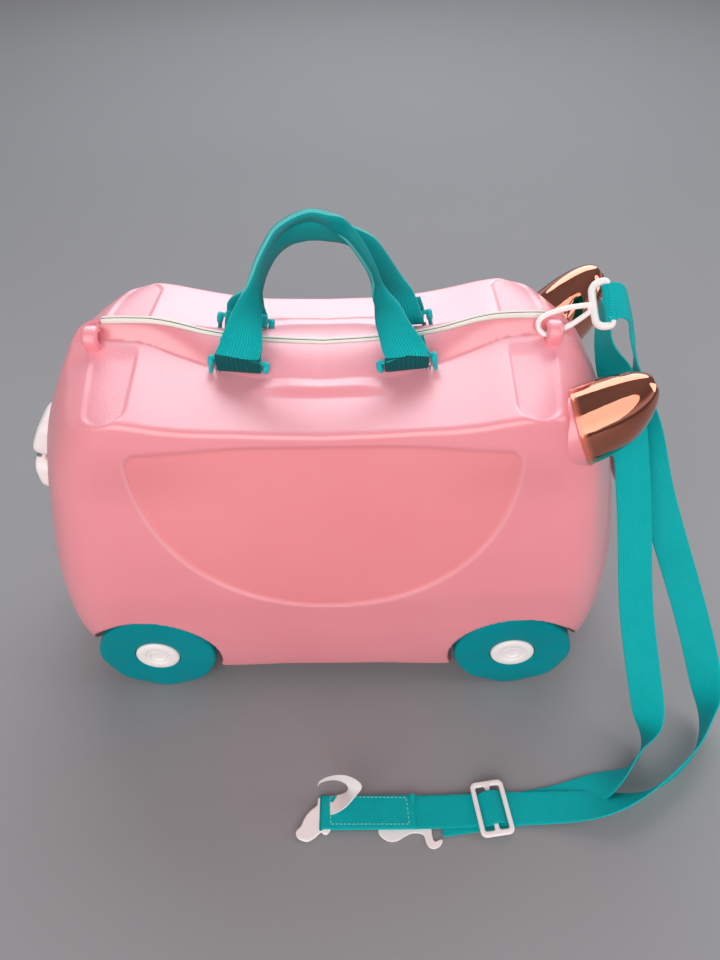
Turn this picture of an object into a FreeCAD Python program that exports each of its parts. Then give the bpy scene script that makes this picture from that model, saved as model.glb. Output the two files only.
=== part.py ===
import FreeCAD, Part
import math
import os

V = FreeCAD.Vector
doc = FreeCAD.newDocument("ride_on_case")

# ---------------------------------------------------------------- dimensions
# Millimetres. X runs along the case with the horns at +X, Y across it with
# the strap's side at -Y, Z up from the floor under the middle of the case.
sheet = doc.addObject("Spreadsheet::Sheet", "Dimensions")
DIMS = [
    ("wall", 3.0),              # moulded wall of both shells
    ("seam_gap", 0.25),         # half of the gap between the two rims
    ("wheel_base", 287.2),
    ("wheel_radius", 46.5),
    ("wheel_inner", 70.0),      # inner face of a wheel, from the mid plane
    ("wheel_width", 23.5),
    ("wheel_edge", 5.0),        # rounding of the tread's outer edge
    ("bay_radius", 50.0),       # wheel bay in the shell
    ("bay_floor", 66.4),        # bay's inner wall, from the mid plane
    ("axle_radius", 5.0),
    ("axle_play", 0.05),
    ("axle_inner", 47.0),
    ("boss_radius", 9.0),
    ("boss_inner", 52.0),
    ("cap_radius", 17.5),
    ("cap_thick", 4.2),
    ("cap_seat", 90.4),
    ("hinge_z", 24.0),
    ("hinge_pin_radius", 2.0),
    ("hinge_play", 0.05),
    ("knuckle_radius", 5.0),
    ("knuckle_clear", 5.6),
    ("trim_width", 5.0),
    ("trim_length", 292.0),
    ("anchor_x", 54.4),
    ("anchor_y", 24.2),
    ("bar_z", 289.0),
    ("bar_radius", 2.0),
    ("bar_tilt", 10.8),
    ("ear_span", 33.0),
    ("handle_thick", 4.0),
    ("handle_lean_near", 11.0),
    ("handle_lean_far", 16.5),
    ("horn_core", 8.0),
    ("loop_x", 150.0),
    ("loop_y", 13.5),
    ("loop_z", 301.0),
    ("loop_outer", 7.6),
    ("loop_inner", 4.2),
    ("loop_length", 11.5),
    ("catch_pin_radius", 2.0),
    ("catch_play", 0.05),
    ("web_width", 25.0),
    ("web_thick", 1.5),
]
for row, (alias, value) in enumerate(DIMS, start=1):
    sheet.set("A%d" % row, alias)
    sheet.set("B%d" % row, repr(value))
    sheet.setAlias("B%d" % row, alias)
doc.recompute()
D = dict(DIMS)


def bind(obj, **exprs):
    for prop, expr in exprs.items():
        obj.setExpression(prop.replace("__", "."), expr)
    return obj


count = [0]


def name_of(stem):
    count[0] += 1
    return "%s_%03d" % (stem, count[0])


def rot(axis, deg):
    return FreeCAD.Rotation(V(*axis), deg)


def cylinder(radius, height, base, direction):
    """A cylinder whose radius and height are sheet expressions or numbers."""
    c = doc.addObject("Part::Cylinder", name_of("Cyl"))
    if isinstance(radius, str):
        c.setExpression("Radius", radius)
    else:
        c.Radius = radius
    if isinstance(height, str):
        c.setExpression("Height", height)
    else:
        c.Height = height
    c.Placement = FreeCAD.Placement(V(*base), FreeCAD.Rotation(V(0, 0, 1), V(*direction)))
    return c


def box(lo, hi, placement=None):
    b = doc.addObject("Part::Box", name_of("Box"))
    b.Length, b.Width, b.Height = hi[0] - lo[0], hi[1] - lo[1], hi[2] - lo[2]
    local = FreeCAD.Placement(V(*lo), FreeCAD.Rotation())
    b.Placement = placement.multiply(local) if placement else local
    return b


def cut(a, *tools):
    c = doc.addObject("Part::Cut", name_of("Cut"))
    c.Base = a
    c.Tool = tools[0] if len(tools) == 1 else fuse(*tools)
    return c


def fuse(*objs):
    f = doc.addObject("Part::MultiFuse", name_of("Fuse"))
    f.Shapes = list(objs)
    return f


def common(a, b):
    c = doc.addObject("Part::Common", name_of("Common"))
    c.Base, c.Tool = a, b
    return c


def solid(shape, stem="Solid"):
    f = doc.addObject("Part::Feature", name_of(stem))
    f.Shape = shape
    return f


nodes = []


def node(label, obj):
    obj.Label = label
    nodes.append(obj)
    return obj


# ------------------------------------------------------- outer form of the case
def pchip(xs, ys):
    n = len(xs)
    h = [xs[i + 1] - xs[i] for i in range(n - 1)]
    d = [(ys[i + 1] - ys[i]) / h[i] for i in range(n - 1)]
    m = [0.0] * n
    for i in range(1, n - 1):
        if d[i - 1] * d[i] > 0:
            w1, w2 = 2 * h[i] + h[i - 1], h[i] + 2 * h[i - 1]
            m[i] = (w1 + w2) / (w1 / d[i - 1] + w2 / d[i])
    m[0], m[-1] = d[0], d[-1]

    def f(x):
        if x <= xs[0]:
            return ys[0] + (x - xs[0]) * m[0]
        if x >= xs[-1]:
            return ys[-1] + (x - xs[-1]) * m[-1]
        i = 0
        while x > xs[i + 1]:
            i += 1
        s = (x - xs[i]) / h[i]
        return ((1 + 2 * s) * (1 - s) ** 2 * ys[i] + s * (1 - s) ** 2 * h[i] * m[i]
                + s * s * (3 - 2 * s) * ys[i + 1] + s * s * (s - 1) * h[i] * m[i + 1])
    return f


# height of the seam, of the crease at the saddle's edge, and the saddle's slope
seam_height = pchip([0, 30, 52, 67, 80, 92, 103, 117, 136, 150, 200],
                    [286.2, 288, 290.2, 292.8, 296, 300, 303.4, 305.8, 306.4, 306.0, 303])
crease_height = pchip([0, 40, 76, 100, 115, 126, 150, 200],
                      [270.3, 271.4, 275, 279.5, 283.0, 284.5, 285, 285])
saddle_slope = pchip([0, 60, 90, 120, 200], [0.10, 0.12, 0.145, 0.16, 0.16])
spine_foot = pchip([0, 37, 60, 77, 100, 120, 150, 200], [31, 29, 25, 21, 15, 10, 8, 7])
half_width = pchip([10, 31, 60, 95, 125, 160, 200, 240, 270, 310],
                   [88, 93, 98, 101.6, 102.4, 99, 92.3, 84, 77, 67])
half_length = pchip([10, 30, 40, 60, 90, 120, 154, 190, 230, 241, 263, 283, 293, 303, 330],
                    [180, 205, 215, 223, 226.5, 224.5, 218.5, 210, 199.5, 195.5, 185, 173.5, 167.5, 160.5, 140])


def step(a, b, x):
    s = min(max((x - a) / (b - a), 0.0), 1.0)
    return s * s * (3 - 2 * s)


def top_height(x, y):
    ax, ay = abs(x), abs(y)
    zc, sl, ft = crease_height(ax), saddle_slope(ax), spine_foot(ax)
    rise = seam_height(ax) - (zc + 77 * sl)
    lip = 3.2 * (1 - step(20, 52, ax))
    return (zc + sl * (77 - ay) + (rise - lip) * (1 - min(ay / ft, 1.0) ** 1.9)
            + lip * (1 - step(37, 45, ay)))


def smooth_max(a, b, k):
    h = max(k - abs(a - b), 0.0) / k
    return max(a, b) + h * h * k / 4


def outside(x, y, z, off):
    """Below zero inside the case's outer form, moved inwards by off."""
    ax, ay = abs(x), abs(y)
    gt = z - top_height(x, y) + off
    gs = ay - (half_width(z) - 3.0 * (ax / 190) ** 2 + 7.5 * step(40, 125, ax) * step(215, 268, z)) + off
    ge = (ax - (half_length(z) - ay * ay / 274.0)) * 0.93 + off
    gb = 27.0 - z + off
    f = smooth_max(gt, gs, 7.0)
    w = step(-25, 10, gt - gs)
    kt = 12 + 12.0 * step(8, 30, ay)
    f = smooth_max(f, ge, 20 + (kt - 20) * w)
    return smooth_max(f, gb, 16.0)


ANGLES = [0, 1.5, 3, 4.5, 6, 8, 10, 12, 14.5, 17, 20, 23, 25.5, 27.5, 29.5, 32, 36, 42, 50, 60, 70,
          80, 90, 100, 110, 120, 127, 132, 136, 140, 145, 152, 160, 170, 180]
STATIONS = [0, 25, 50, 70, 85, 100, 112, 122, 130, 138, 146, 154, 162, 170, 178, 186, 194, 202,
            209, 215, 220, 223.5]


def half_form(off, side):
    """One half of the form as a loft of sections across X, side -1 or +1."""
    stations = [x for x in STATIONS if x < 223.6 - off]
    if off:
        stations[-1] = 223.5 - off
    xs = [-x for x in reversed(stations[1:])] + stations
    params = [float(i) for i in range(len(ANGLES))]
    wires = []
    for x in xs:
        pts = []
        for a in ANGLES:
            dy, dz = side * math.sin(math.radians(a)), math.cos(math.radians(a))
            lo, hi = 0.0, 300.0
            for _ in range(44):
                mid = (lo + hi) / 2
                if outside(x, mid * dy, 105 + mid * dz, off) < 0:
                    lo = mid
                else:
                    hi = mid
            y = 0.0 if a in (0, 180) else lo * dy
            pts.append(V(x, y, 105 + lo * dz))
        curve = Part.BSplineCurve()
        curve.interpolate(Points=pts, Parameters=params)
        wires.append(Part.Wire([curve.toShape(), Part.makeLine(pts[-1], pts[0])]))
    return Part.makeLoft(wires, True, False)


WX = D["wheel_base"] / 2
WZ = D["wheel_radius"]
outer = {}
HORN = {}


def surface_x(z):
    return half_length(z)


# the frame of an end catch: along the wall's normal, across, and up the wall
TILT = math.degrees(math.atan2(17.9, 70.0))


def catch_frame(end):
    """Local X out of the wall, local Z up along it, at z = 192 on the seam."""
    place = FreeCAD.Placement(V(end * surface_x(192), 0, 192), FreeCAD.Rotation())
    turn = rot((0, 0, 1), 0 if end > 0 else 180).multiply(rot((0, 1, 0), -TILT))
    place.Rotation = turn
    return place


def across(end, y0, y1):
    """Y range in the catch's local frame for a Y range of the case."""
    return (y0, y1) if end > 0 else (-y1, -y0)


def cbox(end, n, y, up):
    ylo, yhi = across(end, *y)
    return box((n[0], ylo, up[0]), (n[1], yhi, up[1]), catch_frame(end))


def ccyl(end, radius, y, n, up):
    ylo, yhi = across(end, *y)
    f = catch_frame(end)
    base = f.multVec(V(n, ylo, up))
    direction = f.Rotation.multVec(V(0, 1, 0))
    return cylinder(radius, yhi - ylo, tuple(base), tuple(direction))


PIN_N, PIN_UP = 8.0, 3.0


# ---------------------------------------------------------------------- shells
def make_shell(side):
    label = "near_shell" if side < 0 else "far_shell"
    out = solid(half_form(0.0, side), "Form")
    inn = solid(half_form(D["wall"], side), "Cavity")
    outer[side] = out
    shell = cut(out, inn)
    adds = []
    bays = []
    for fx in (-1, 1):
        housing = cylinder("Dimensions.bay_radius + Dimensions.wall", 45,
                           (fx * WX, side * (D["bay_floor"] - D["wall"]), WZ), (0, side, 0))
        adds.append(common(housing, out))
        bays.append(cylinder("Dimensions.bay_radius", 60, (fx * WX, side * D["bay_floor"], WZ), (0, side, 0)))
    boss = []
    holes = []
    for fx in (-1, 1):
        boss.append(cylinder("Dimensions.boss_radius",
                             "Dimensions.wheel_inner - 0.4 - Dimensions.boss_inner",
                             (fx * WX, side * D["boss_inner"], WZ), (0, side, 0)))
        holes.append(cylinder("Dimensions.axle_radius", 40, (fx * WX, side * 45, WZ), (0, side, 0)))
    shell = fuse(shell, *adds)
    shell = cut(shell, *bays)
    shell = fuse(shell, *boss)
    shell = cut(shell, *holes)
    # rim gap, and the rebate for the trim along the top of the seam
    gap = D["seam_gap"]
    shell = cut(shell, box((-300, -gap, 0), (300, gap, 400)))
    rebate = D["trim_width"] / 2 + (0.0 if side < 0 else 0.4)
    ys = (-rebate, 0) if side < 0 else (0, rebate)
    half = D["trim_length"] / 2 + (0 if side < 0 else 0.6)
    shell = cut(shell, box((-half, ys[0], 270), (half, ys[1], 320)))
    # hinge under the seam: three knuckles on the near half, two on the far
    near_k = [(-110, -70), (-20, 20), (70, 110)]
    far_k = [(-69.5, -20.5), (20.5, 69.5)]
    own, other = (near_k, far_k) if side < 0 else (far_k, near_k)
    hz = D["hinge_z"]
    for a, b in other:
        shell = cut(shell, cylinder("Dimensions.knuckle_clear", b - a + 1.0, (a - 0.5, 0, hz), (1, 0, 0)))
    knuckles = []
    for a, b in own:
        knuckles.append(cylinder("Dimensions.knuckle_radius", b - a, (a, 0, hz), (1, 0, 0)))
        ylo, yhi = (-12, -0.25) if side < 0 else (0.25, 12)
        knuckles.append(box((a, ylo, hz - 0.5), (b, yhi, hz + 4.2)))
    shell = fuse(shell, *knuckles)
    play = "Dimensions.hinge_pin_radius" + ("" if side < 0 else " + Dimensions.hinge_play")
    shell = cut(shell, cylinder(play, 260, (-130, 0, hz), (1, 0, 0)))
    if side < 0:
        # tow loops beside the spine at both ends of the near half
        loops = []
        bores = []
        for fx in (-1, 1):
            x0 = fx * D["loop_x"] - D["loop_length"] / 2
            ring = cylinder("Dimensions.loop_outer", "Dimensions.loop_length",
                            (x0, -D["loop_y"], D["loop_z"]), (1, 0, 0))
            foot = box((x0, -D["loop_y"] - 5.5, 285), (x0 + D["loop_length"], -D["loop_y"] + 5.5, D["loop_z"]))
            web = box((x0, -D["loop_y"], D["loop_z"] - 4), (x0 + D["loop_length"], -1.5, D["loop_z"] + 4))
            body = cut(fuse(ring, foot, web), inn)
            loops.append(body)
            bores.append(cylinder("Dimensions.loop_inner", 60, (x0 - 24, -D["loop_y"], D["loop_z"]), (1, 0, 0)))
        shell = fuse(shell, *loops)
        shell = cut(shell, *bores)
    return label, shell, inn


shells = {}
cavity = {}
for side in (-1, 1):
    label, shape, inn = make_shell(side)
    shells[side] = (label, shape)
    cavity[side] = inn
doc.recompute()

# ------------------------------------------------------------- horns and screws
# A blunt ear-shaped cap on each front corner, leaning forwards and up.
HORN_EL, HORN_YAW = 39.0, 12.0
HORN_A, HORN_B, HORN_L, HORN_SHIFT, HORN_N = 29.0, 23.5, 50.0, 9.0, 1.85


def horn_frame(side):
    el, yaw = math.radians(HORN_EL), math.radians(HORN_YAW) * side
    ax = V(math.cos(el) * math.cos(yaw), math.cos(el) * math.sin(yaw), math.sin(el))
    e1 = V(-math.sin(el) * math.cos(yaw), -math.sin(el) * math.sin(yaw), math.cos(el))
    e2 = e1.cross(ax)
    return V(168, side * 60, 264), ax, e1, e2


def horn_loft(side, shrink):
    base, ax, e1, e2 = horn_frame(side)
    a, b, length = HORN_A - shrink, HORN_B - shrink, HORN_L - shrink
    wires = []
    for t in (-0.42, 0.0, 0.18, 0.36, 0.54, 0.7, 0.82, 0.91, 0.965, 0.99):
        s = max(t, 0.0)
        r = (1 - s ** HORN_N) ** (1 / HORN_N)
        centre = base + ax * (t * length) + e1 * (HORN_SHIFT * s * s)
        pts = []
        for k in range(16):
            p = 2 * math.pi * k / 16
            pts.append(centre + e1 * (a * r * math.cos(p)) + e2 * (b * r * math.sin(p)))
        curve = Part.BSplineCurve()
        curve.interpolate(Points=pts, PeriodicFlag=True)
        wires.append(Part.Wire([curve.toShape()]))
    return Part.makeLoft(wires, True, False)


horn_nodes = {}
pads = {-1: [], 1: []}
screw_holes = {-1: [], 1: []}
horn_screws = {}
for side in (-1, 1):
    raw = solid(horn_loft(side, 0.0), "HornForm")
    base, ax, e1, e2 = horn_frame(side)
    bores, screws = [], []
    # cored out in the middle, with solid posts either side for the screws
    core = cylinder("Dimensions.horn_core", 48, tuple(base - ax * 22), tuple(ax))
    horn = cut(cut(raw, outer[side]), core)
    for k in (-1, 1):
        # seat of the screw's head on the inside of the wall
        q = base + e1 * (13.0 * k)
        lo, hi = -60.0, 30.0
        for _ in range(40):
            mid = (lo + hi) / 2
            p = q + ax * mid
            if outside(p.x, p.y, p.z, D["wall"]) < 0:
                lo = mid
            else:
                hi = mid
        seat = q + ax * (lo - 3.2)
        screws.append(cylinder(2.0, 16, tuple(seat), tuple(ax)))
        screws.append(cylinder(4.2, 2.6, tuple(seat - ax * 2.6), tuple(ax)))
        bores.append(cylinder(2.0, 60, tuple(seat - ax * 4), tuple(ax)))
        # pad under the head, square to the screw
        pads[side].append(cylinder(5.5, 12, tuple(seat), tuple(ax)))
    for b in bores:
        b.Height = 20.0
    horn = cut(horn, *bores)
    screw_holes[side] += bores
    horn_nodes[side] = horn
    horn_screws[side] = (screws[0], screws[1], screws[2], screws[3])

# --------------------------------------------------- handle anchors and rivets
anchors = {}
rivets = {-1: [], 1: []}
for side in (-1, 1):
    for fx in (-1, 1):
        tilt = -fx * D["bar_tilt"]
        place = FreeCAD.Placement(V(fx * D["anchor_x"], side * D["anchor_y"], D["bar_z"]), rot((0, 1, 0), tilt))
        plate = box((-19.5, -7, -15), (19.5, 7, -6.8), place)
        half = D["ear_span"] / 2
        ear_a = box((-half - 3, -5, -12), (-half, 5, 0), place)
        ear_b = box((half, -5, -12), (half + 3, 5, 0), place)
        direction = place.Rotation.multVec(V(1, 0, 0))
        cap_a = cylinder(5.0, 3, tuple(place.multVec(V(-half - 3, 0, 0))), tuple(direction))
        cap_b = cylinder(5.0, 3, tuple(place.multVec(V(half, 0, 0))), tuple(direction))
        bar = cylinder("Dimensions.bar_radius", D["ear_span"] + 4, tuple(place.multVec(V(-half - 2, 0, 0))), tuple(direction))
        body = cut(fuse(plate, ear_a, ear_b, cap_a, cap_b, bar), outer[side])
        down = place.Rotation.multVec(V(0, 0, 1))
        for k in (-1, 1):
            foot = place.multVec(V(13.0 * k, 0, -9.0))
            # head seat on the inner face of the wall
            lo, hi = -40.0, 10.0
            for _ in range(40):
                mid = (lo + hi) / 2
                p = foot + down * mid
                if outside(p.x, p.y, p.z, D["wall"]) < 0:
                    lo = mid
                else:
                    hi = mid
            seat = foot + down * (lo - 1.6)
            span = (foot - seat).dot(down) + 1.5
            shaft = cylinder(1.6, span, tuple(seat), tuple(down))
            head = cylinder(3.4, 1.8, tuple(seat - down * 1.8), tuple(down))
            pads[side].append(cylinder(4.4, 6, tuple(seat), tuple(down)))
            rivets[side] += [shaft, head]
            bore = cylinder(1.6, span, tuple(seat), tuple(down))
            screw_holes[side].append(bore)
            body = cut(body, bore)
        anchors[(side, fx)] = body

# --------------------------------------------------------------------- catches
catch_nodes = []
catch_rivets = []
keeper_rivets = []
for end in (-1, 1):
    tag = "front" if end > 0 else "rear"
    # housing on the near half, reaching over the rim of the far half
    block = cbox(end, (-6, 13.5), (-16.5, 16.5), (0.0, 36.0))
    cheeks = cbox(end, (2.0, 12.0), (-16.5, 16.5), (-2.5, 0.5))
    body = fuse(block, cheeks)
    top_trim = cbox(end, (9.5, 30), (-30, 30), (30.5, 60))
    side_trim_a = cbox(end, (9.5, 30), (-30, -13.5), (-10, 60))
    side_trim_b = cbox(end, (9.5, 30), (13.5, 30), (-10, 60))
    body = cut(body, top_trim, side_trim_a, side_trim_b)
    body = cut(body, outer[-1])
    # clear of the far half, with a channel for its keeper
    body = cut(body, cbox(end, (-10, 2.2), (-0.25, 40), (-10, 60)))
    body = cut(body, cbox(end, (-10, 8.0), (1.0, 40), (11.0, 25.0)))
    # room for the lever's knuckles
    body = cut(body, cbox(end, (2.6, 20), (-11.0, -4.0), (-6, 7.2)))
    body = cut(body, cbox(end, (2.6, 20), (4.0, 11.0), (-6, 7.2)))
    body = cut(body, cbox(end, (3.6, 20), (-3.4, 3.4), (-6, 7.2)))
    pin_bore = ccyl(end, "Dimensions.catch_pin_radius", (-15.0, 15.0), PIN_N, PIN_UP)
    body = cut(body, pin_bore)
    # lever: a flap below the housing, with two knuckles on the pin
    flap = cbox(end, (2.2, 13.0), (-16.0, 16.0), (-36.0, -5.0))
    flap = cut(flap, cbox(end, (9.0, 30), (-30, 30), (-60, -31.0)),
               cbox(end, (9.5, 30), (-30, -13.0), (-60, 10)), cbox(end, (9.5, 30), (13.0, 30), (-60, 10)))
    hollow = cbox(end, (0, 10.2), (-13.4, 13.4), (-33.6, -8.5))
    lever = cut(flap, hollow)
    for y0, y1 in ((-10.6, -4.4), (4.4, 10.6)):
        knuckle = ccyl(end, 3.4, (y0, y1), PIN_N, PIN_UP)
        arm = cbox(end, (PIN_N - 3.4, PIN_N + 3.4), (y0, y1), (-6.0, PIN_UP))
        lever = fuse(lever, knuckle, arm)
    lever = cut(lever, ccyl(end, "Dimensions.catch_pin_radius + Dimensions.catch_play", (-17, 17), PIN_N, PIN_UP))
    pin = ccyl(end, "Dimensions.catch_pin_radius", (-15.0, 15.0), PIN_N, PIN_UP)
    spring = cut(ccyl(end, 3.0, (-3.0, 3.0), PIN_N, PIN_UP), ccyl(end, 2.0, (-5, 5), PIN_N, PIN_UP))
    # keeper on the far half, inside the housing's channel
    keep = cbox(end, (-6, 6.5), (3.0, 9.0), (13.0, 23.0))
    plate = cbox(end, (-6, 1.6), (1.6, 13.5), (12.0, 24.0))
    keeper = cut(fuse(keep, plate), outer[1])
    # one rivet through the wall into each piece
    f = catch_frame(end)
    outw = f.Rotation.multVec(V(1, 0, 0))
    for store, y, up, side, depth in ((catch_rivets, -9.0, 18.0, -1, 5.0), (catch_rivets, -9.0, 29.0, -1, 5.0),
                                      (keeper_rivets, 6.0, 18.0, 1, 4.0)):
        yy = across(end, y, y)[0]
        q = f.multVec(V(0, yy, up))
        lo, hi = -20.0, 10.0
        for _ in range(40):
            mid = (lo + hi) / 2
            p = q + outw * mid
            if outside(p.x, p.y, p.z, D["wall"]) < 0:
                lo = mid
            else:
                hi = mid
        seat = q + outw * (lo - 1.4)
        span = 1.4 - lo + depth
        shaft = cylinder(1.6, span, tuple(seat), tuple(outw))
        head = cylinder(3.4, 1.8, tuple(seat - outw * 1.8), tuple(outw))
        pads[side].append(cylinder(4.4, 6, tuple(seat), tuple(outw)))
        bore = cylinder(1.6, span, tuple(seat), tuple(outw))
        screw_holes[side].append(bore)
        store += [shaft, head]
        if side < 0:
            body = cut(body, bore)
        else:
            keeper = cut(keeper, bore)
    catch_nodes.append((tag, body, lever, pin, spring, keeper))

for side in (-1, 1):
    label, shape = shells[side]
    shape = fuse(shape, common(fuse(*pads[side]), outer[side]))
    node(label, cut(shape, *screw_holes[side]))

# --------------------------------------------------------------- trim and hinge
profile = []
n_trim = 41
tl = D["trim_length"] / 2
pts_top, pts_low = [], []
for i in range(n_trim):
    x = -tl + 2 * tl * i / (n_trim - 1)
    z = top_height(x, 0)
    pts_top.append(V(x, 0, z + 1.2))
    pts_low.append(V(x, 0, z - 5.0))
ct = Part.BSplineCurve()
ct.interpolate(Points=pts_top)
cl = Part.BSplineCurve()
cl.interpolate(Points=list(reversed(pts_low)))
face = Part.Face(Part.Wire([ct.toShape(), Part.makeLine(pts_top[-1], pts_low[-1]), cl.toShape(),
                            Part.makeLine(pts_low[0], pts_top[0])]))
trim = solid(face.extrude(V(0, D["trim_width"], 0)), "Trim")
trim.Placement = FreeCAD.Placement(V(0, -D["trim_width"] / 2, 0), FreeCAD.Rotation())
node("seal_trim", trim)

pin = cylinder("Dimensions.hinge_pin_radius", 222, (-111, 0, D["hinge_z"]), (1, 0, 0))
bind(pin, Placement__Base__z="Dimensions.hinge_z")
node("hinge_pin", pin)

# ---------------------------------------------------------- wheels, axles, clips
for side in (-1, 1):
    clips = []
    for fx in (-1, 1):
        tag = ("front" if fx > 0 else "rear") + ("_near" if side < 0 else "_far")
        at = (fx * WX, side * D["wheel_inner"], WZ)
        way = (0, side, 0)
        disc = cylinder("Dimensions.wheel_radius", "Dimensions.wheel_width", at, way)
        doc.recompute()
        edges = []
        for i, e in enumerate(disc.Shape.Edges, start=1):
            if isinstance(e.Curve, Part.Circle):
                outside_edge = abs(e.Curve.Center.y) > D["wheel_inner"] + 5
                r = D["wheel_edge"] if outside_edge else 2.5
                edges.append((i, r, r))
        tread = doc.addObject("Part::Fillet", name_of("Tread"))
        tread.Base = disc
        tread.Edges = edges
        # hollow back with six ribs, cap recess and bore
        back = cut(cylinder(40.0, 15.0, (at[0], side * (D["wheel_inner"] - 1.0), WZ), way),
                   cylinder(12.0, 20.0, (at[0], side * (D["wheel_inner"] - 2.0), WZ), way))
        ribs = []
        for k in range(6):
            p = FreeCAD.Placement(V(at[0], 0, WZ), rot((0, 1, 0), 60.0 * k))
            y0, y1 = sorted((side * (D["wheel_inner"] + 1.0), side * (D["wheel_inner"] + 16.0)))
            ribs.append(box((10.0, y0, -1.5), (42.0, y1, 1.5), p))
        wheel = cut(tread, cut(back, *ribs))
        wheel = cut(wheel, cylinder("Dimensions.cap_radius + 0.7", 20, (at[0], side * (D["cap_seat"] - 0.4), WZ), way))
        wheel = cut(wheel, cylinder("Dimensions.axle_radius + Dimensions.axle_play", 60,
                                    (at[0], side * 50, WZ), way))
        node("wheel_" + tag, wheel)
        shaft = cylinder("Dimensions.axle_radius", "Dimensions.cap_seat - Dimensions.axle_inner + 1",
                         (at[0], side * D["axle_inner"], WZ), way)
        cap = cylinder("Dimensions.cap_radius", "Dimensions.cap_thick", (at[0], side * D["cap_seat"], WZ), way)
        node("axle_" + tag, fuse(shaft, cap))
        ring = cut(cylinder(8.6, 2.0, (at[0], side * 49.8, WZ), way),
                   cylinder("Dimensions.axle_radius", 8, (at[0], side * 47, WZ), way))
        clips.append(ring)
    pair = doc.addObject("Part::Compound", name_of("Clips"))
    pair.Links = clips
    node("axle_clips_" + ("near" if side < 0 else "far"), pair)

# ---------------------------------------------------------------- horns' nodes
for side in (-1, 1):
    tag = "near" if side < 0 else "far"
    node("horn_" + tag, horn_nodes[side])
    s = horn_screws[side]
    grp = doc.addObject("Part::Compound", name_of("HornScrews"))
    grp.Links = [fuse(s[0], s[1]), fuse(s[2], s[3])]
    node("horn_screws_" + tag, grp)
    for fx in (-1, 1):
        node("anchor_%s_%s" % ("front" if fx > 0 else "rear", tag), anchors[(side, fx)])
    r = rivets[side]
    grp = doc.addObject("Part::Compound", name_of("AnchorRivets"))
    grp.Links = [fuse(r[i], r[i + 1]) for i in range(0, len(r), 2)]
    node("anchor_rivets_" + tag, grp)

# --------------------------------------------------------------------- handles
# A band of webbing standing on edge, 30 mm wide at the anchors, folded above.
OUT = {-1: [(-68.4, 5.3), (-66.5, 14), (-60, 30), (-50, 48), (-40, 66), (-27, 85), (-14, 94.5), (0, 97)],
       1: [(-68.4, 5.3), (-66, 14), (-60, 26), (-50, 44), (-41, 62), (-31, 76), (-17, 85), (0, 87.5)]}
INN = {-1: [(-40.4, 5.3), (-39, 14), (-37.5, 30), (-36, 46), (-31, 60), (-22, 72), (-11, 78.5), (0, 80)],
       1: [(-40.4, 5.3), (-39.5, 14), (-38.5, 28), (-35, 46), (-27, 59), (-16, 67.5), (0, 70)]}
LEAN = {-1: D["handle_lean_near"], 1: D["handle_lean_far"]}


def band(side):
    full_out = OUT[side] + [(-x, h) for x, h in reversed(OUT[side][:-1])]
    full_inn = INN[side] + [(-x, h) for x, h in reversed(INN[side][:-1])]
    c1 = Part.BSplineCurve()
    c1.interpolate(Points=[V(x, 0, h) for x, h in full_out])
    c2 = Part.BSplineCurve()
    c2.interpolate(Points=[V(x, 0, h) for x, h in reversed(full_inn)])
    a0, a1 = full_out[0], full_inn[0]
    face = Part.Face(Part.Wire([c1.toShape(), Part.makeLine(V(-a0[0], 0, a0[1]), V(-a1[0], 0, a1[1])),
                                c2.toShape(), Part.makeLine(V(a1[0], 0, a1[1]), V(a0[0], 0, a0[1]))]))
    th = D["handle_thick"]
    body = face.extrude(V(0, th, 0))
    body.translate(V(0, -th / 2, 0))
    for fx in (-1, 1):
        eye = Part.makeCylinder(5.2, 7, V(fx * D["anchor_x"] - 3.5, 0, 0), V(1, 0, 0))
        neck = Part.makeBox(7, th, 6, V(fx * D["anchor_x"] - 3.5, -th / 2, 3))
        bore = Part.makeCylinder(3.2, 9, V(fx * D["anchor_x"] - 4.5, 0, 0), V(1, 0, 0))
        body = body.fuse([eye, neck]).cut(bore)
    body = body.removeSplitter()
    f = solid(body, "Band")
    f.Placement = FreeCAD.Placement(V(0, side * D["anchor_y"], D["bar_z"]), rot((1, 0, 0), side * LEAN[side]))
    return f


for side in (-1, 1):
    node("handle_" + ("near" if side < 0 else "far"), band(side))

# ------------------------------------------------------------- catches' nodes
for tag, body, lever, pin, spring, keeper in catch_nodes:
    node("catch_housing_" + tag, body)
    node("catch_lever_" + tag, lever)
    node("catch_pin_" + tag, pin)
    node("catch_spring_" + tag, spring)
    node("catch_keeper_" + tag, keeper)
for label, r in (("catch_rivets", catch_rivets), ("keeper_rivets", keeper_rivets)):
    grp = doc.addObject("Part::Compound", name_of("Rivets"))
    grp.Links = [fuse(r[i], r[i + 1]) for i in range(0, len(r), 2)]
    node(label, grp)


# --------------------------------------------------------- tow strap and clips
def unit(a):
    return a * (1.0 / a.Length)


def smooth_path(points, every):
    """Points along a smooth curve through the route."""
    c = Part.BSplineCurve()
    c.interpolate(Points=[V(*p) for p in points])
    n = max(int(c.length() / every), 4)
    return c.discretize(n + 1), c.length()


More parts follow.
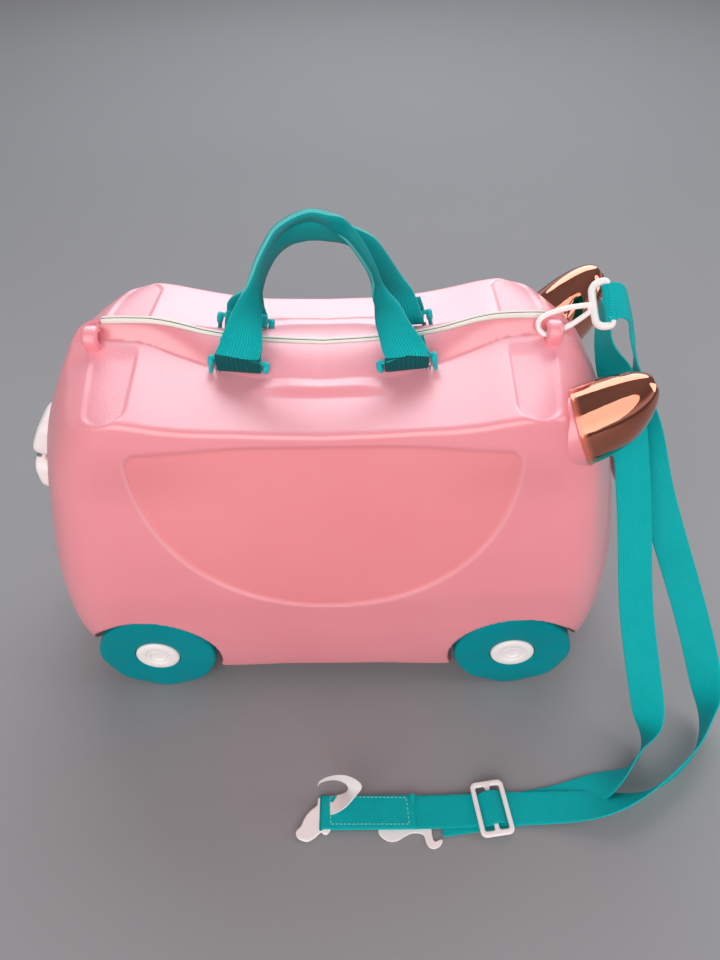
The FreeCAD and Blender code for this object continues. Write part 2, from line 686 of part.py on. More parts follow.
def strip(points, wides, width, thick, every):
    """Flat webbing along a route, with the way its width lies at each point."""
    path, length = smooth_path(points, every)
    knots = [V(*p) for p in points]
    at = [0.0]
    for p, q in zip(knots, knots[1:]):
        at.append(at[-1] + (q - p).Length)
    run = [0.0]
    for p, q in zip(path, path[1:]):
        run.append(run[-1] + (q - p).Length)
    wires = []
    for i, p in enumerate(path):
        t = unit(path[min(i + 1, len(path) - 1)] - path[max(i - 1, 0)])
        s = run[i] / run[-1] * at[-1]
        k = 0
        while k < len(at) - 2 and s > at[k + 1]:
            k += 1
        f = min(max((s - at[k]) / (at[k + 1] - at[k]), 0.0), 1.0)
        w = unit(V(*wides[k])) * (1 - f) + unit(V(*wides[k + 1])) * f
        w = unit(w - t * w.dot(t))
        n = unit(t.cross(w))
        a, b = w * (width / 2), n * (thick / 2)
        wires.append(Part.makePolygon([p - a - b, p + a - b, p + a + b, p - a + b, p - a - b]))
    shape = Part.makeLoft(wires, True, True)
    print("strip length %.1f volume %.1f section x length %.1f" % (length, shape.Volume, length * width * thick))
    return shape


# route of each run: from the bar of the top clip down to the floor, round to
# the rear and flat along the floor, with the way the width lies at each point
LOWER = [((183, -4.8, 312.8), (0.05, -0.85, -0.52)), ((183.6, -5.2, 303), (0.1, -0.95, -0.2)), ((186.5, -6.5, 288), (0.35, -0.93, 0)),
         ((195, -10.5, 270), (0.8, -0.6, 0.1)), ((204, -20, 251), (1, -0.2, 0.1)), ((211.5, -33, 228), (1, 0.1, 0.1)),
         ((217.5, -47.5, 196), (1, 0.1, 0.1)),
         ((223.5, -66, 158), (1, 0.1, 0.15)), ((229, -92, 108), (1, 0.05, 0.25)), ((239, -120, 62), (0.9, 0.0, 0.5)),
         ((246, -143, 31), (0.5, 0.2, 0.85)), ((243, -160, 16.5), (0.1, 0.1, 1)), ((232, -173, 13.2), (0, 0, 1)),
         ((216, -182.5, 9.6), (0.0, -0.7, 0.7)), ((197, -190.5, 3.7), (0.15, -0.98, 0.12)), ((176, -197, 1.5), (0.2, -1, 0.0)),
         ((150, -202, 1.1), (0.15, -1, 0)), ((119, -206, 1.1), (0.1, -1, 0)), ((95, -209, 1.1), (0.12, -1, 0)),
         ((80, -211, 1.1), (0.15, -1, 0))]
UPPER = [((186.5, -4.5, 318.5), (0.05, -0.85, -0.52)), ((192.5, -3.2, 317.5), (0.05, -0.85, -0.52)), ((197.5, -1.0, 312.5), (0.05, -0.85, -0.52)),
         ((201, 0.8, 305), (0.03, -0.87, -0.45)), ((205, 0.0, 293), (0.05, -0.95, -0.2)), ((210.8, -5.2, 275), (0.3, -0.93, 0.0)),
         ((218, -14.5, 251), (0.8, -0.5, 0.1)), ((227, -25, 218), (1, -0.2, 0.2)),
         ((239, -39, 180), (1, 0, 0.3)), ((257, -56, 138), (1, 0.1, 0.4)), ((277, -78, 92), (1, 0.1, 0.5)),
         ((293, -102, 50), (0.8, 0.1, 0.65)), ((299, -124, 25), (0.4, 0.1, 0.9)), ((295, -144, 14.5), (0.1, 0.0, 1)),
         ((284, -162, 13.2), (0, 0, 1)), ((268, -177, 13.2), (0, 0, 1)), ((249, -190, 13.4), (0, -0.1, 1)),
         ((229, -198.5, 13.0), (0.0, -0.45, 0.9)), ((208, -203, 11.2), (0.1, -0.8, 0.58)), ((186, -203.5, 6.4), (0.1, -0.98, 0.2)),
         ((155, -203.3, 3.0), (0.05, -1, 0)), ((119, -204, 2.75), (0.03, -1, 0)), ((80, -205.5, 2.75), (0.03, -1, 0)),
         ((40, -206.0, 2.75), (0.02, -1, 0)), ((-9, -206.0, 2.75), (0.02, -1, 0))]
for label, route in (("tow_strap_upper", UPPER), ("tow_strap_lower", LOWER)):
    shape = strip([p for p, w in route], [w for p, w in route], D["web_width"], D["web_thick"], 6.0)
    node(label, solid(shape, "Webbing"))


def plate_at(origin, ex, ey, outline, holes, thick):
    """A flat plate in the plane of ex and ey, with openings."""
    n = unit(ex.cross(ey))
    wires = []
    for loop in [outline] + holes:
        pts = [origin + ex * a + ey * b - n * (thick / 2) for a, b in loop]
        wires.append(Part.makePolygon(pts + pts[:1]))
    face = Part.Face(wires[0])
    for w in wires[1:]:
        face = face.cut(Part.Face(w)).Faces[0]
    return solid(face.extrude(n * thick), "Plate")


def half_round(cx, r, a0, a1, n=9):
    return [(cx + r * math.cos(math.radians(a0 + (a1 - a0) * k / (n - 1))),
             r * math.sin(math.radians(a0 + (a1 - a0) * k / (n - 1)))) for k in range(n)]


# top clip: a frame for the webbing, and a closed hook with one arm through the
# front tow loop and the other over it
bar_dir = unit(V(0.05, -0.85, -0.52))
bar_mid = V(184.5, -4.5, 316.0)
to_back = unit(V(-0.83, 0.0, -0.35) - bar_dir * V(-0.83, 0.0, -0.35).dot(bar_dir))
webbing_frame = plate_at(bar_mid, bar_dir, to_back, [(-18.4, -1.9), (18.4, -1.9), (18.4, 2.5), (15.5, 11.4), (-15.5, 11.4), (-18.4, 2.5)],
                         [[(-14.6, 1.9), (14.6, 1.9), (12.6, 7.6), (-12.6, 7.6)]], 3.8)
hook_mid = V(D["loop_x"], -D["loop_y"] + 4.15, D["loop_z"] + 4.3)
hook_x = unit(bar_mid + to_back * 9.5 - hook_mid)
hook_y = unit(V(0, 0.694, 0.72) - hook_x * V(0, 0.694, 0.72).dot(hook_x))
hook = plate_at(hook_mid, hook_x, hook_y, half_round(-4.0, 7.8, 90, 270) + [(9.0, -7.8), (18.0, -5.6), (27.5, -4.2), (27.5, 4.2), (18.0, 5.6), (9.0, 7.8)],
                [half_round(-4.0, 4.2, 90, 270) + half_round(12.0, 3.4, -90, 90)], 3.2)
node("tow_clip", fuse(webbing_frame, hook))

# slider: a frame with a middle bar, lying on the two layers
slider = box((119 - 12.75, -204 - 20.5, 3.75), (119 + 12.75, -204 + 20.5, 6.75))
for x0, x1 in ((109.4, 117.2), (120.8, 128.6)):
    slider = cut(slider, box((x0, -204 - 16.5, 0), (x1, -204 + 16.5, 10)))
node("strap_slider", slider)


def flat(outline, z0, z1):
    """A plate with this outline, lying level."""
    pts = [V(x, y, z0) for x, y in outline]
    return solid(Part.Face(Part.makePolygon(pts + pts[:1])).extrude(V(0, 0, z1 - z0)), "Plate")


# clip at the sewn end: a leaf-shaped hook and a bar with a turned-up foot; the
# same clip at the end of the lower run lies under the upper one
end_clip = flat([(-12.6, -194.6), (-9.3, -194.8), (-7.0, -213.4), (-6.4, -215.6), (-5.2, -216.6), (-4.2, -215.6),
                 (-2.3, -214.9), (-1.7, -217.2), (-2.8, -220.1), (-5.3, -222.1), (-7.9, -221.2), (-9.0, -219.6),
                 (-13.8, -224.4), (-19.2, -227.0), (-23.0, -225.9), (-26.1, -224.7), (-28.0, -221.4), (-27.5, -218.5),
                 (-24.4, -216.1), (-21.9, -209.4), (-17.4, -203.7), (-12.2, -200.4)], 1.3, 4.1)
node("strap_end_clip", end_clip)
low_clip = flat([(34.0, -211.0), (32.9, -219.6), (35.4, -223.3), (39.5, -226.0), (43.8, -226.8), (48.0, -225.8),
                 (53.2, -222.6), (58.4, -220.4), (63.5, -220.6), (67.3, -221.9), (68.2, -227.2), (70.1, -230.8),
                 (73.8, -232.0), (78.1, -230.5), (80.8, -226.6), (80.2, -225.0), (77.7, -225.4), (75.4, -226.8),
                 (73.6, -225.6), (72.9, -220.3), (72.5, -204.0), (68.5, -201.0), (66.0, -207.0), (48.0, -206.5)], 0.1, 1.8)
node("strap_low_clip", low_clip)


def ribbon(first, second, thick, count):
    """A thin strip between two edge lines."""
    lines = []
    for pts in (first, second):
        c = Part.BSplineCurve()
        c.interpolate(Points=[V(*p) for p in pts])
        lines.append(c.discretize(count))
    wires = []
    for i in range(count):
        p, q = lines[0][i], lines[1][i]
        mid = [(lines[0][k] + lines[1][k]) * 0.5 for k in (max(i - 1, 0), min(i + 1, count - 1))]
        t = unit(mid[1] - mid[0])
        w = unit((q - p) - t * (q - p).dot(t))
        n = unit(t.cross(w)) * (thick / 2)
        wires.append(Part.makePolygon([p - n, q - n, q + n, p + n, p - n]))
    return Part.makeLoft(wires, True, True)


# label sewn in at the end, curling over itself
label_a = [(-2.6, -208.3, 4.6), (5.0, -206.3, 7.6), (10.9, -204.0, 13.5), (17.9, -201.0, 25.1), (21.6, -199.0, 33.0),
           (16.6, -197.0, 42.1), (6.7, -196.0, 46.9), (-4.3, -196.0, 42.5), (-10.5, -196.0, 32.0)]
label_b = [(-3.4, -194.1, 4.6), (5.0, -193.2, 5.2), (9.9, -192.6, 9.0), (11.2, -192.5, 15.5), (10.6, -192.8, 21.7),
           (7.2, -193.5, 30.0), (1.3, -194.6, 36.4), (-4.6, -195.3, 36.6), (-11.0, -195.7, 27.0)]
node("strap_label", solid(ribbon(label_a, label_b, 0.8, 25), "Label"))

# ------------------------------------------------------------------- write out
doc.recompute()
bad = []
for obj in doc.Objects:
    if "Invalid" in obj.State or "Error" in obj.State:
        bad.append(obj.Name + " " + obj.Label)
for obj in nodes:
    s = obj.Shape
    if s.isNull() or not s.isValid() or s.Volume <= 0:
        bad.append("shape " + obj.Label)
if bad:
    raise RuntimeError("failed: " + ", ".join(bad))
os.makedirs("parts", exist_ok=True)
for obj in nodes:
    s = obj.Shape
    print("%-22s solids %d volume %.1f" % (obj.Label, len(s.Solids), s.Volume))
    s.exportStep("parts/%s.step" % obj.Label)
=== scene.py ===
import bpy
import math
import numpy as np
from mathutils import Matrix, Vector

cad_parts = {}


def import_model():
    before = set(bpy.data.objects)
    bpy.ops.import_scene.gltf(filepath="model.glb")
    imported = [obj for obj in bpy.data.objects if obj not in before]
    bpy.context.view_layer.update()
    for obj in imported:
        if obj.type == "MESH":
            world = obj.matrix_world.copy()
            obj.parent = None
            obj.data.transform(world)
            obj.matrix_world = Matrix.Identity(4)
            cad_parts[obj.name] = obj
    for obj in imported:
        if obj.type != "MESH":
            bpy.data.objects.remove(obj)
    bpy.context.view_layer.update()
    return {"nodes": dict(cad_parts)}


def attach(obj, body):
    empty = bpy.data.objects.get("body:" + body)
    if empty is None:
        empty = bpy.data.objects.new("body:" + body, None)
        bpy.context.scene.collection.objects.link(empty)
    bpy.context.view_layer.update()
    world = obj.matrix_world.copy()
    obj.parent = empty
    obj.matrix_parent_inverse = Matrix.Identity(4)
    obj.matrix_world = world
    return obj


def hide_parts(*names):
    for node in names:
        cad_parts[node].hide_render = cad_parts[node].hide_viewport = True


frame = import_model()
nodes = frame["nodes"]
scene = bpy.context.scene
scene.view_settings.view_transform = "Standard"
MM = 0.001


# ------------------------------------------------------------------ the camera
def make_camera():
    pitch, yaw, roll = math.radians(46.24), math.radians(-0.87), math.radians(-1.29)
    fwd = Vector((math.sin(yaw) * math.cos(pitch), math.cos(yaw) * math.cos(pitch), -math.sin(pitch)))
    right = Vector((math.cos(yaw), -math.sin(yaw), 0.0))
    up = right.cross(fwd)
    r = right * math.cos(roll) + up * math.sin(roll)
    u = up * math.cos(roll) - right * math.sin(roll)
    data = bpy.data.cameras.new("camera")
    data.sensor_width = 36.0
    data.lens = 781.4222 * 36.0 / 960.0
    data.clip_start, data.clip_end = 0.01, 50.0
    cam = bpy.data.objects.new("camera", data)
    scene.collection.objects.link(cam)
    m = Matrix((r, u, -fwd)).transposed().to_4x4()
    m.translation = Vector((0.0288, -0.43204, 0.60149))
    cam.matrix_world = m
    scene.camera = cam


make_camera()


# ------------------------------------------------------------- mesh construction
def new_object(name, verts, faces, mat, smooth=True, sharp=None):
    """A mesh object from points in millimetres."""
    me = bpy.data.meshes.new(name)
    me.from_pydata((np.asarray(verts, float) * MM).tolist(), [], faces)
    me.update()
    if smooth:
        me.shade_smooth()
    if sharp:
        me.set_sharp_from_angle(angle=math.radians(sharp))
    if mat:
        me.materials.append(mat)
    ob = bpy.data.objects.new(name, me)
    scene.collection.objects.link(ob)
    return ob


def remove(ob):
    me = ob.data
    bpy.data.objects.remove(ob)
    bpy.data.meshes.remove(me)


def bake_modifiers(ob):
    dg = bpy.context.evaluated_depsgraph_get()
    me = bpy.data.meshes.new_from_object(ob.evaluated_get(dg), preserve_all_data_layers=True, depsgraph=dg)
    old = ob.data
    ob.modifiers.clear()
    ob.data = me
    me.name = ob.name
    bpy.data.meshes.remove(old)
    return ob


def boolean(ob, tool, op, solver="MANIFOLD", keep=False):
    m = ob.modifiers.new("cut", "BOOLEAN")
    m.operation, m.object, m.solver = op, tool, solver
    bake_modifiers(ob)
    if not keep:
        remove(tool)
    return ob


def grid_faces(nu, nv, close_u=False, close_v=False):
    faces = []
    for i in range(nu if close_u else nu - 1):
        a, b = i * nv, ((i + 1) % nu) * nv
        for j in range(nv if close_v else nv - 1):
            k = (j + 1) % nv
            faces.append((a + j, b + j, b + k, a + k))
    return faces


def loft(name, rings, mat, caps=True, sharp=None, close=False):
    """Closed rings of points joined into a tube; rings are lists of points in mm."""
    n = len(rings[0])
    verts = np.concatenate([np.asarray(r, float) for r in rings])
    faces = grid_faces(len(rings), n, close, True)
    if caps and not close:
        faces.append(tuple(range(n - 1, -1, -1)))
        faces.append(tuple(range((len(rings) - 1) * n, len(rings) * n)))
    return new_object(name, verts, faces, mat, True, sharp)


def fix_normals(ob):
    import bmesh
    bm = bmesh.new()
    bm.from_mesh(ob.data)
    bmesh.ops.recalc_face_normals(bm, faces=bm.faces)
    bm.to_mesh(ob.data)
    bm.free()
    ob.data.update()
    return ob


def join(name, obs):
    """One object from several, with their modifiers applied."""
    verts, faces, mats, idx, uv = [], [], [], [], []
    smooth, at = [], 0
    for ob in obs:
        if ob.modifiers:
            bake_modifiers(ob)
        me = ob.data
        slots = []
        for m in me.materials:
            if m not in mats:
                mats.append(m)
            slots.append(mats.index(m))
        co = np.zeros(len(me.vertices) * 3)
        me.vertices.foreach_get("co", co)
        verts.append(co.reshape(-1, 3) / MM)
        layer = me.uv_layers.active
        for p in me.polygons:
            faces.append(tuple(v + at for v in p.vertices))
            idx.append(slots[p.material_index] if slots else 0)
            for li in p.loop_indices:
                uv.append(tuple(layer.data[li].uv) if layer else (0.0, 0.0))
        at += len(me.vertices)
    ob = new_object(name, np.concatenate(verts), faces, None)
    for m in mats:
        ob.data.materials.append(m)
    ob.data.polygons.foreach_set("material_index", idx)
    layer = ob.data.uv_layers.new(name="run")
    layer.data.foreach_set("uv", np.asarray(uv, np.float32).ravel())
    for o in obs:
        remove(o)
    return ob


def cylinder_mesh(name, centre, axis, radius, length, mat=None, n=96, bevel=0.0):
    """A turned disc with softly broken edges, from centre along axis."""
    axis = np.asarray(axis, float)
    axis /= np.linalg.norm(axis)
    a = np.cross(axis, [0, 0, 1] if abs(axis[2]) < 0.9 else [1, 0, 0])
    a /= np.linalg.norm(a)
    b = np.cross(axis, a)
    prof = [(radius, 0.0), (radius, length)]
    if bevel:
        arc = [0, 22.5, 45, 67.5, 90]
        prof = [(radius - bevel + bevel * math.sin(math.radians(q)), bevel - bevel * math.cos(math.radians(q))) for q in arc]
        prof += [(radius - bevel + bevel * math.cos(math.radians(q)), length - bevel + bevel * math.sin(math.radians(q))) for q in arc]
    rings = []
    for r, h in prof:
        rings.append([np.asarray(centre, float) + axis * h + a * r * math.cos(t) + b * r * math.sin(t)
                      for t in np.linspace(0, 2 * math.pi, n, endpoint=False)])
    return fix_normals(loft(name, rings, mat, True, 35))


def box_mesh(name, lo, hi, mat=None, bevel=0.0, segments=3, place=None):
    x0, y0, z0 = lo
    x1, y1, z1 = hi
    v = np.array([(x0, y0, z0), (x1, y0, z0), (x1, y1, z0), (x0, y1, z0),
                  (x0, y0, z1), (x1, y0, z1), (x1, y1, z1), (x0, y1, z1)], float)
    if place is not None:
        v = place(v)
    f = [(3, 2, 1, 0), (4, 5, 6, 7), (0, 1, 5, 4), (1, 2, 6, 5), (2, 3, 7, 6), (3, 0, 4, 7)]
    ob = fix_normals(new_object(name, v, f, mat))
    if bevel:
        m = ob.modifiers.new("edge", "BEVEL")
        m.width, m.segments, m.limit_method = bevel * MM, segments, "NONE"
        m.harden_normals = True
    return ob


def unit(v):
    v = np.asarray(v, float)
    return v / np.linalg.norm(v)


def smooth_curve(points, count):
    """Points along a Catmull-Rom curve through a few given ones."""
    p = np.asarray(points, float)
    p = np.vstack([2 * p[0] - p[1], p, 2 * p[-1] - p[-2]])
    n = len(p) - 3
    out = []
    for t in np.linspace(0, n, count):
        i = min(int(t), n - 1)
        f = t - i
        a, b, c, d = p[i], p[i + 1], p[i + 2], p[i + 3]
        out.append(0.5 * (2 * b + (c - a) * f + (2 * a - 5 * b + 4 * c - d) * f * f + (3 * b - a - 3 * c + d) * f ** 3))
    return np.array(out)


def tube(name, points, radius, mat, n=14, count=None, closed=False, flat=1.0, up=None):
    """A round or flattened rod along a smooth line through the points."""
    p = np.asarray(points, float)
    if closed:
        m = count or 12 * len(p)
        ext = np.vstack([p[-2:], p, p[:3]])
        full = smooth_curve(ext, (len(ext) - 1) * 12 + 1)
        path = full[24:24 + 12 * len(p)]
    else:
        path = smooth_curve(p, count or 10 * len(p))
    rads = np.full(len(path), radius) if np.isscalar(radius) else np.interp(
        np.linspace(0, 1, len(path)), np.linspace(0, 1, len(radius)), radius)
    rings = []
    ref = unit(up) if up is not None else None
    for i, q in enumerate(path):
        if closed:
            t = unit(path[(i + 1) % len(path)] - path[i - 1])
        else:
            t = unit(path[min(i + 1, len(path) - 1)] - path[max(i - 1, 0)])
        if ref is None:
            ref = np.array([0, 0, 1.0]) if abs(t[2]) < 0.9 else np.array([1.0, 0, 0])
        nrm = unit(ref - t * (ref @ t))
        if up is None:
            ref = nrm
        bi = np.cross(t, nrm)
        r = rads[i]
        rings.append([q + nrm * r * flat * math.cos(a) + bi * r * math.sin(a)
                      for a in np.linspace(0, 2 * math.pi, n, endpoint=False)])
    if not closed:
        # rounded ends
        def cap(ring, centre, t, r):
            out = []
            for k in (0.45, 0.78, 0.95):
                c = math.sqrt(1 - k * k)
                out.append([centre + (np.asarray(v) - centre) * c + t * r * k for v in ring])
            return out
        t0, t1 = unit(path[0] - path[1]), unit(path[-1] - path[-2])
        head = cap(rings[0], path[0], t0, rads[0] * min(flat, 1.0))
        tail = cap(rings[-1], path[-1], t1, rads[-1] * min(flat, 1.0))
        rings = head[::-1] + rings + tail
    return fix_normals(loft(name, rings, mat, True, None, closed))


# ------------------------------------------------------------------- materials
def srgb(r, g, b):
    def lin(c):
        c /= 255.0
        return c / 12.92 if c <= 0.04045 else ((c + 0.055) / 1.055) ** 2.4
    return (lin(r), lin(g), lin(b), 1.0)


class Nodes:
    """Short forms for a material's nodes."""

    def __init__(self, name):
        self.mat = bpy.data.materials.new(name)
        self.mat.use_nodes = True
        self.t = self.mat.node_tree
        self.bsdf = self.t.nodes["Principled BSDF"]

    def add(self, kind, **props):
        n = self.t.nodes.new(kind)
        for k, v in props.items():
            setattr(n, k, v)
        return n

    def link(self, a, b):
        self.t.links.new(a, b)

    def feed(self, socket, value):
        if isinstance(value, bpy.types.NodeSocket):
            self.link(value, socket)
        else:
            socket.default_value = value

    def math(self, op, a, b=0.0, c=None):
        n = self.add("ShaderNodeMath", operation=op)
        self.feed(n.inputs[0], a)
        self.feed(n.inputs[1], b)
        if c is not None:
            self.feed(n.inputs[2], c)
        return n.outputs[0]

    def mix(self, fac, a, b, mode="MIX"):
        n = self.add("ShaderNodeMix", data_type="RGBA", blend_type=mode)
        self.feed(n.inputs[0], fac)
        self.feed(n.inputs[6], a)
        self.feed(n.inputs[7], b)
        return n.outputs[2]

    def coords(self):
        return self.add("ShaderNodeTexCoord").outputs["Object"]

    def noise(self, scale, detail=2.0, rough=0.5, vec=None):
        n = self.add("ShaderNodeTexNoise")
        n.inputs["Scale"].default_value = scale
        n.inputs["Detail"].default_value = detail
        n.inputs["Roughness"].default_value = rough
        self.link(vec if vec is not None else self.coords(), n.inputs["Vector"])
        return n.outputs["Fac"]

    def ramp(self, value, lo, hi, a=0.0, b=1.0, smooth=True):
        n = self.add("ShaderNodeMapRange", interpolation_type="SMOOTHSTEP" if smooth else "LINEAR")
        self.feed(n.inputs["Value"], value)
        n.inputs["From Min"].default_value, n.inputs["From Max"].default_value = lo, hi
        n.inputs["To Min"].default_value, n.inputs["To Max"].default_value = a, b
        return n.outputs["Result"]

    def attr(self, name):
        return self.add("ShaderNodeAttribute", attribute_name=name).outputs["Fac"]

    def bump(self, height, strength, distance, normal=None):
        n = self.add("ShaderNodeBump")
        n.inputs["Strength"].default_value = strength
        n.inputs["Distance"].default_value = distance
        self.feed(n.inputs["Height"], height)
        if normal is not None:
            self.link(normal, n.inputs["Normal"])
        return n.outputs["Normal"]

    def set(self, **vals):
        for k, v in vals.items():
            self.feed(self.bsdf.inputs[k.replace("_", " ")], v)
        return self.mat


def plastic(name, colour, rough=0.34, grain=0.05, tint=0.06, scale=900.0, shine=0.5):
    """Moulded plastic: a faint grain, a little cloudiness and handling marks."""
    n = Nodes(name)
    cloud = n.noise(14.0, 3.0)
    fine = n.noise(scale, 2.0)
    marks = n.ramp(n.noise(60.0, 5.0, 0.7), 0.52, 0.75)
    dark = tuple(c * (1 - tint) for c in colour[:3]) + (1.0,)
    light = tuple(min(1.0, c * (1 + tint * 0.6)) for c in colour[:3]) + (1.0,)
    col = n.mix(n.ramp(cloud, 0.3, 0.7), dark, light)
    r = n.math("ADD", n.math("MULTIPLY", marks, 0.10), rough)
    r = n.math("ADD", r, n.math("MULTIPLY", n.math("SUBTRACT", cloud, 0.5), 0.08))
    normal = n.bump(fine, grain, 0.0004)
    n.set(Base_Color=col, Roughness=r, Normal=normal, Specular_IOR_Level=shine)
    return n.mat


def shell_material():
    n = Nodes("shell_pink")
    moon, pad = n.attr("moon"), n.attr("pad")
    cloud = n.noise(9.0, 3.0)
    base = n.mix(n.ramp(cloud, 0.3, 0.7), srgb(243, 141, 151), srgb(247, 147, 157))
    base = n.mix(moon, base, n.mix(n.ramp(cloud, 0.3, 0.7), srgb(245, 137, 143), srgb(249, 143, 149)))
    base = n.mix(n.math("MULTIPLY", pad, 0.6), base, srgb(246, 150, 162))
    # painted highlight: a pale line along the moon panel's edge, where its bevel would catch the light
    base = n.mix(n.math("MULTIPLY", n.attr("edge"), 0.35), base, srgb(252, 190, 196))
    # painted sheen: faces that point up are coloured a lighter, whiter pink, standing in for the reflection of the
    # light above them
    sep = n.add("ShaderNodeSeparateXYZ")
    n.link(n.add("ShaderNodeTexCoord").outputs["Normal"], sep.inputs[0])
    base = n.mix(n.ramp(sep.outputs[2], 0.76, 0.985, 0.0, 0.55), base, srgb(249, 172, 186))
    fine = n.noise(1100.0, 2.0)
    dots = n.add("ShaderNodeTexVoronoi")
    dots.inputs["Scale"].default_value = 900.0
    n.link(n.coords(), dots.inputs["Vector"])
    grain = n.math("MULTIPLY", n.math("SUBTRACT", 1.0, dots.outputs["Distance"]), pad)
    rub = n.ramp(n.noise(45.0, 6.0, 0.7), 0.5, 0.8)
    r = n.math("ADD", 0.36, n.math("MULTIPLY", rub, 0.07))
    r = n.math("ADD", r, n.math("MULTIPLY", pad, 0.14))
    normal = n.bump(fine, 0.04, 0.0003)
    normal = n.bump(grain, 0.35, 0.0006, normal)
    n.set(Base_Color=base, Roughness=r, Normal=normal)
    n.bsdf.inputs["Specular IOR Level"].default_value = 0.95
    n.bsdf.inputs["Coat Weight"].default_value = 0.7
    n.bsdf.inputs["Coat Roughness"].default_value = 0.26
    n.bsdf.inputs["Coat IOR"].default_value = 1.5
    n.bsdf.inputs["Subsurface Weight"].default_value = 0.06
    n.bsdf.inputs["Subsurface Radius"].default_value = (0.012, 0.005, 0.005)
    n.bsdf.inputs["Subsurface Scale"].default_value = 0.25
    return n.mat


def webbing(name, colour, pitch_u, pitch_v, rib, weave, sheen=0.06, edge=0.0):
    """Woven tape: cords along its length (u across, v along, both in metres)."""
    n = Nodes(name)
    uv = n.add("ShaderNodeUVMap", uv_map="run").outputs["UV"]
    sep = n.add("ShaderNodeSeparateXYZ")
    n.link(uv, sep.inputs[0])
    u, v = sep.outputs[0], sep.outputs[1]
    wob = n.math("MULTIPLY", n.math("SUBTRACT", n.noise(160.0, 2.0), 0.5), 0.0007)
    u = n.math("ADD", u, wob)
    su = n.math("SINE", n.math("MULTIPLY", u, 2 * math.pi / pitch_u))
    half = n.math("MULTIPLY", n.math("FLOOR", n.math("MULTIPLY", u, 2.0 / pitch_u)), math.pi)
    sv = n.math("SINE", n.math("ADD", n.math("MULTIPLY", v, 2 * math.pi / pitch_v), half))
    ribs = n.math("MULTIPLY", n.math("ADD", su, 1.0), 0.5 * rib)
    knit = n.math("MULTIPLY", n.math("ADD", sv, 1.0), 0.5 * weave)
    height = n.math("ADD", ribs, knit)
    share = n.math("DIVIDE", height, rib + weave)
    cloud = n.noise(38.0, 4.0, 0.6)
    fuzz = n.noise(2600.0, 2.0)
    dark = tuple(c * 0.62 for c in colour[:3]) + (1.0,)
    light = tuple(min(1.0, c * 1.16) for c in colour[:3]) + (1.0,)
    # painted shade in the weave: its low grooves are coloured darker than the raised cords
    col = n.mix(n.ramp(share, 0.1, 0.85), dark, light)
    col = n.mix(n.ramp(cloud, 0.35, 0.75, 0.0, 0.16), col, tuple(c * 0.6 for c in colour[:3]) + (1.0,))
    # edge: strength of the painted highlight on the woven edges; it also turns on the painted shade in the fold
    if edge:
        # painted shade darkens the fold's inner faces, and a painted highlight makes the woven edges pale
        col = n.mix(n.math("MULTIPLY", n.attr("shade"), 0.78), col, tuple(c * 0.3 for c in colour[:3]) + (1.0,))
        rim = n.ramp(n.math("ABSOLUTE", sep.outputs[0]), 0.01435, 0.01475, 0.0, edge)
        col = n.mix(rim, col, (0.16, 0.62, 0.60, 1.0))
    normal = n.bump(height, 0.8, 0.00035)
    normal = n.bump(fuzz, 0.18, 0.0002, normal)
    n.set(Base_Color=col, Roughness=n.ramp(cloud, 0.2, 0.8, 0.50, 0.64), Normal=normal)
    n.bsdf.inputs["Sheen Weight"].default_value = sheen
    n.bsdf.inputs["Sheen Roughness"].default_value = 0.4
    n.bsdf.inputs["Sheen Tint"].default_value = srgb(150, 235, 230)
    n.bsdf.inputs["Specular IOR Level"].default_value = 0.15
    return n.mat


def copper_material():
    n = Nodes("horn_copper")
    cloud = n.noise(22.0, 3.0)
    col = n.mix(n.ramp(cloud, 0.3, 0.7), srgb(186, 102, 74), srgb(200, 116, 84))
    smear = n.ramp(n.noise(70.0, 6.0, 0.75), 0.5, 0.85)
    r = n.math("ADD", 0.045, n.math("MULTIPLY", smear, 0.07))
    normal = n.bump(n.noise(38.0, 3.0), 0.22, 0.0022)
    # painted reflection: the horn's foot is coloured coral, standing in for the pink case reflected in the copper
    foot = n.attr("foot")
    col = n.mix(foot, col, srgb(228, 116, 88))
    n.set(Base_Color=col, Roughness=n.math("ADD", r, n.math("MULTIPLY", foot, 0.22)), Normal=normal,
          Metallic=n.math("SUBTRACT", 1.0, n.math("MULTIPLY", foot, 0.5)))
    n.bsdf.inputs["Coat Weight"].default_value = 0.8
    n.bsdf.inputs["Coat Roughness"].default_value = 0.03
    n.bsdf.inputs["Coat IOR"].default_value = 1.7
    return n.mat


def steel_material():
    n = Nodes("steel")
    grain = n.noise(700.0, 3.0)
    col = n.mix(grain, srgb(176, 178, 182), srgb(205, 206, 208))
    n.set(Base_Color=col, Roughness=n.ramp(grain, 0.2, 0.8, 0.24, 0.40), Normal=n.bump(grain, 0.05, 0.0002))
    n.bsdf.inputs["Metallic"].default_value = 1.0
    return n.mat


def label_material():
    n = Nodes("label_white")
    thread = n.noise(1500.0, 2.0)
    col = n.mix(n.ramp(n.noise(30.0, 3.0), 0.3, 0.7), srgb(236, 226, 224), srgb(246, 240, 238))
    n.set(Base_Color=col, Roughness=n.ramp(thread, 0.2, 0.8, 0.42, 0.6), Normal=n.bump(thread, 0.22, 0.0002))
    n.bsdf.inputs["Sheen Weight"].default_value = 0.15
    return n.mat


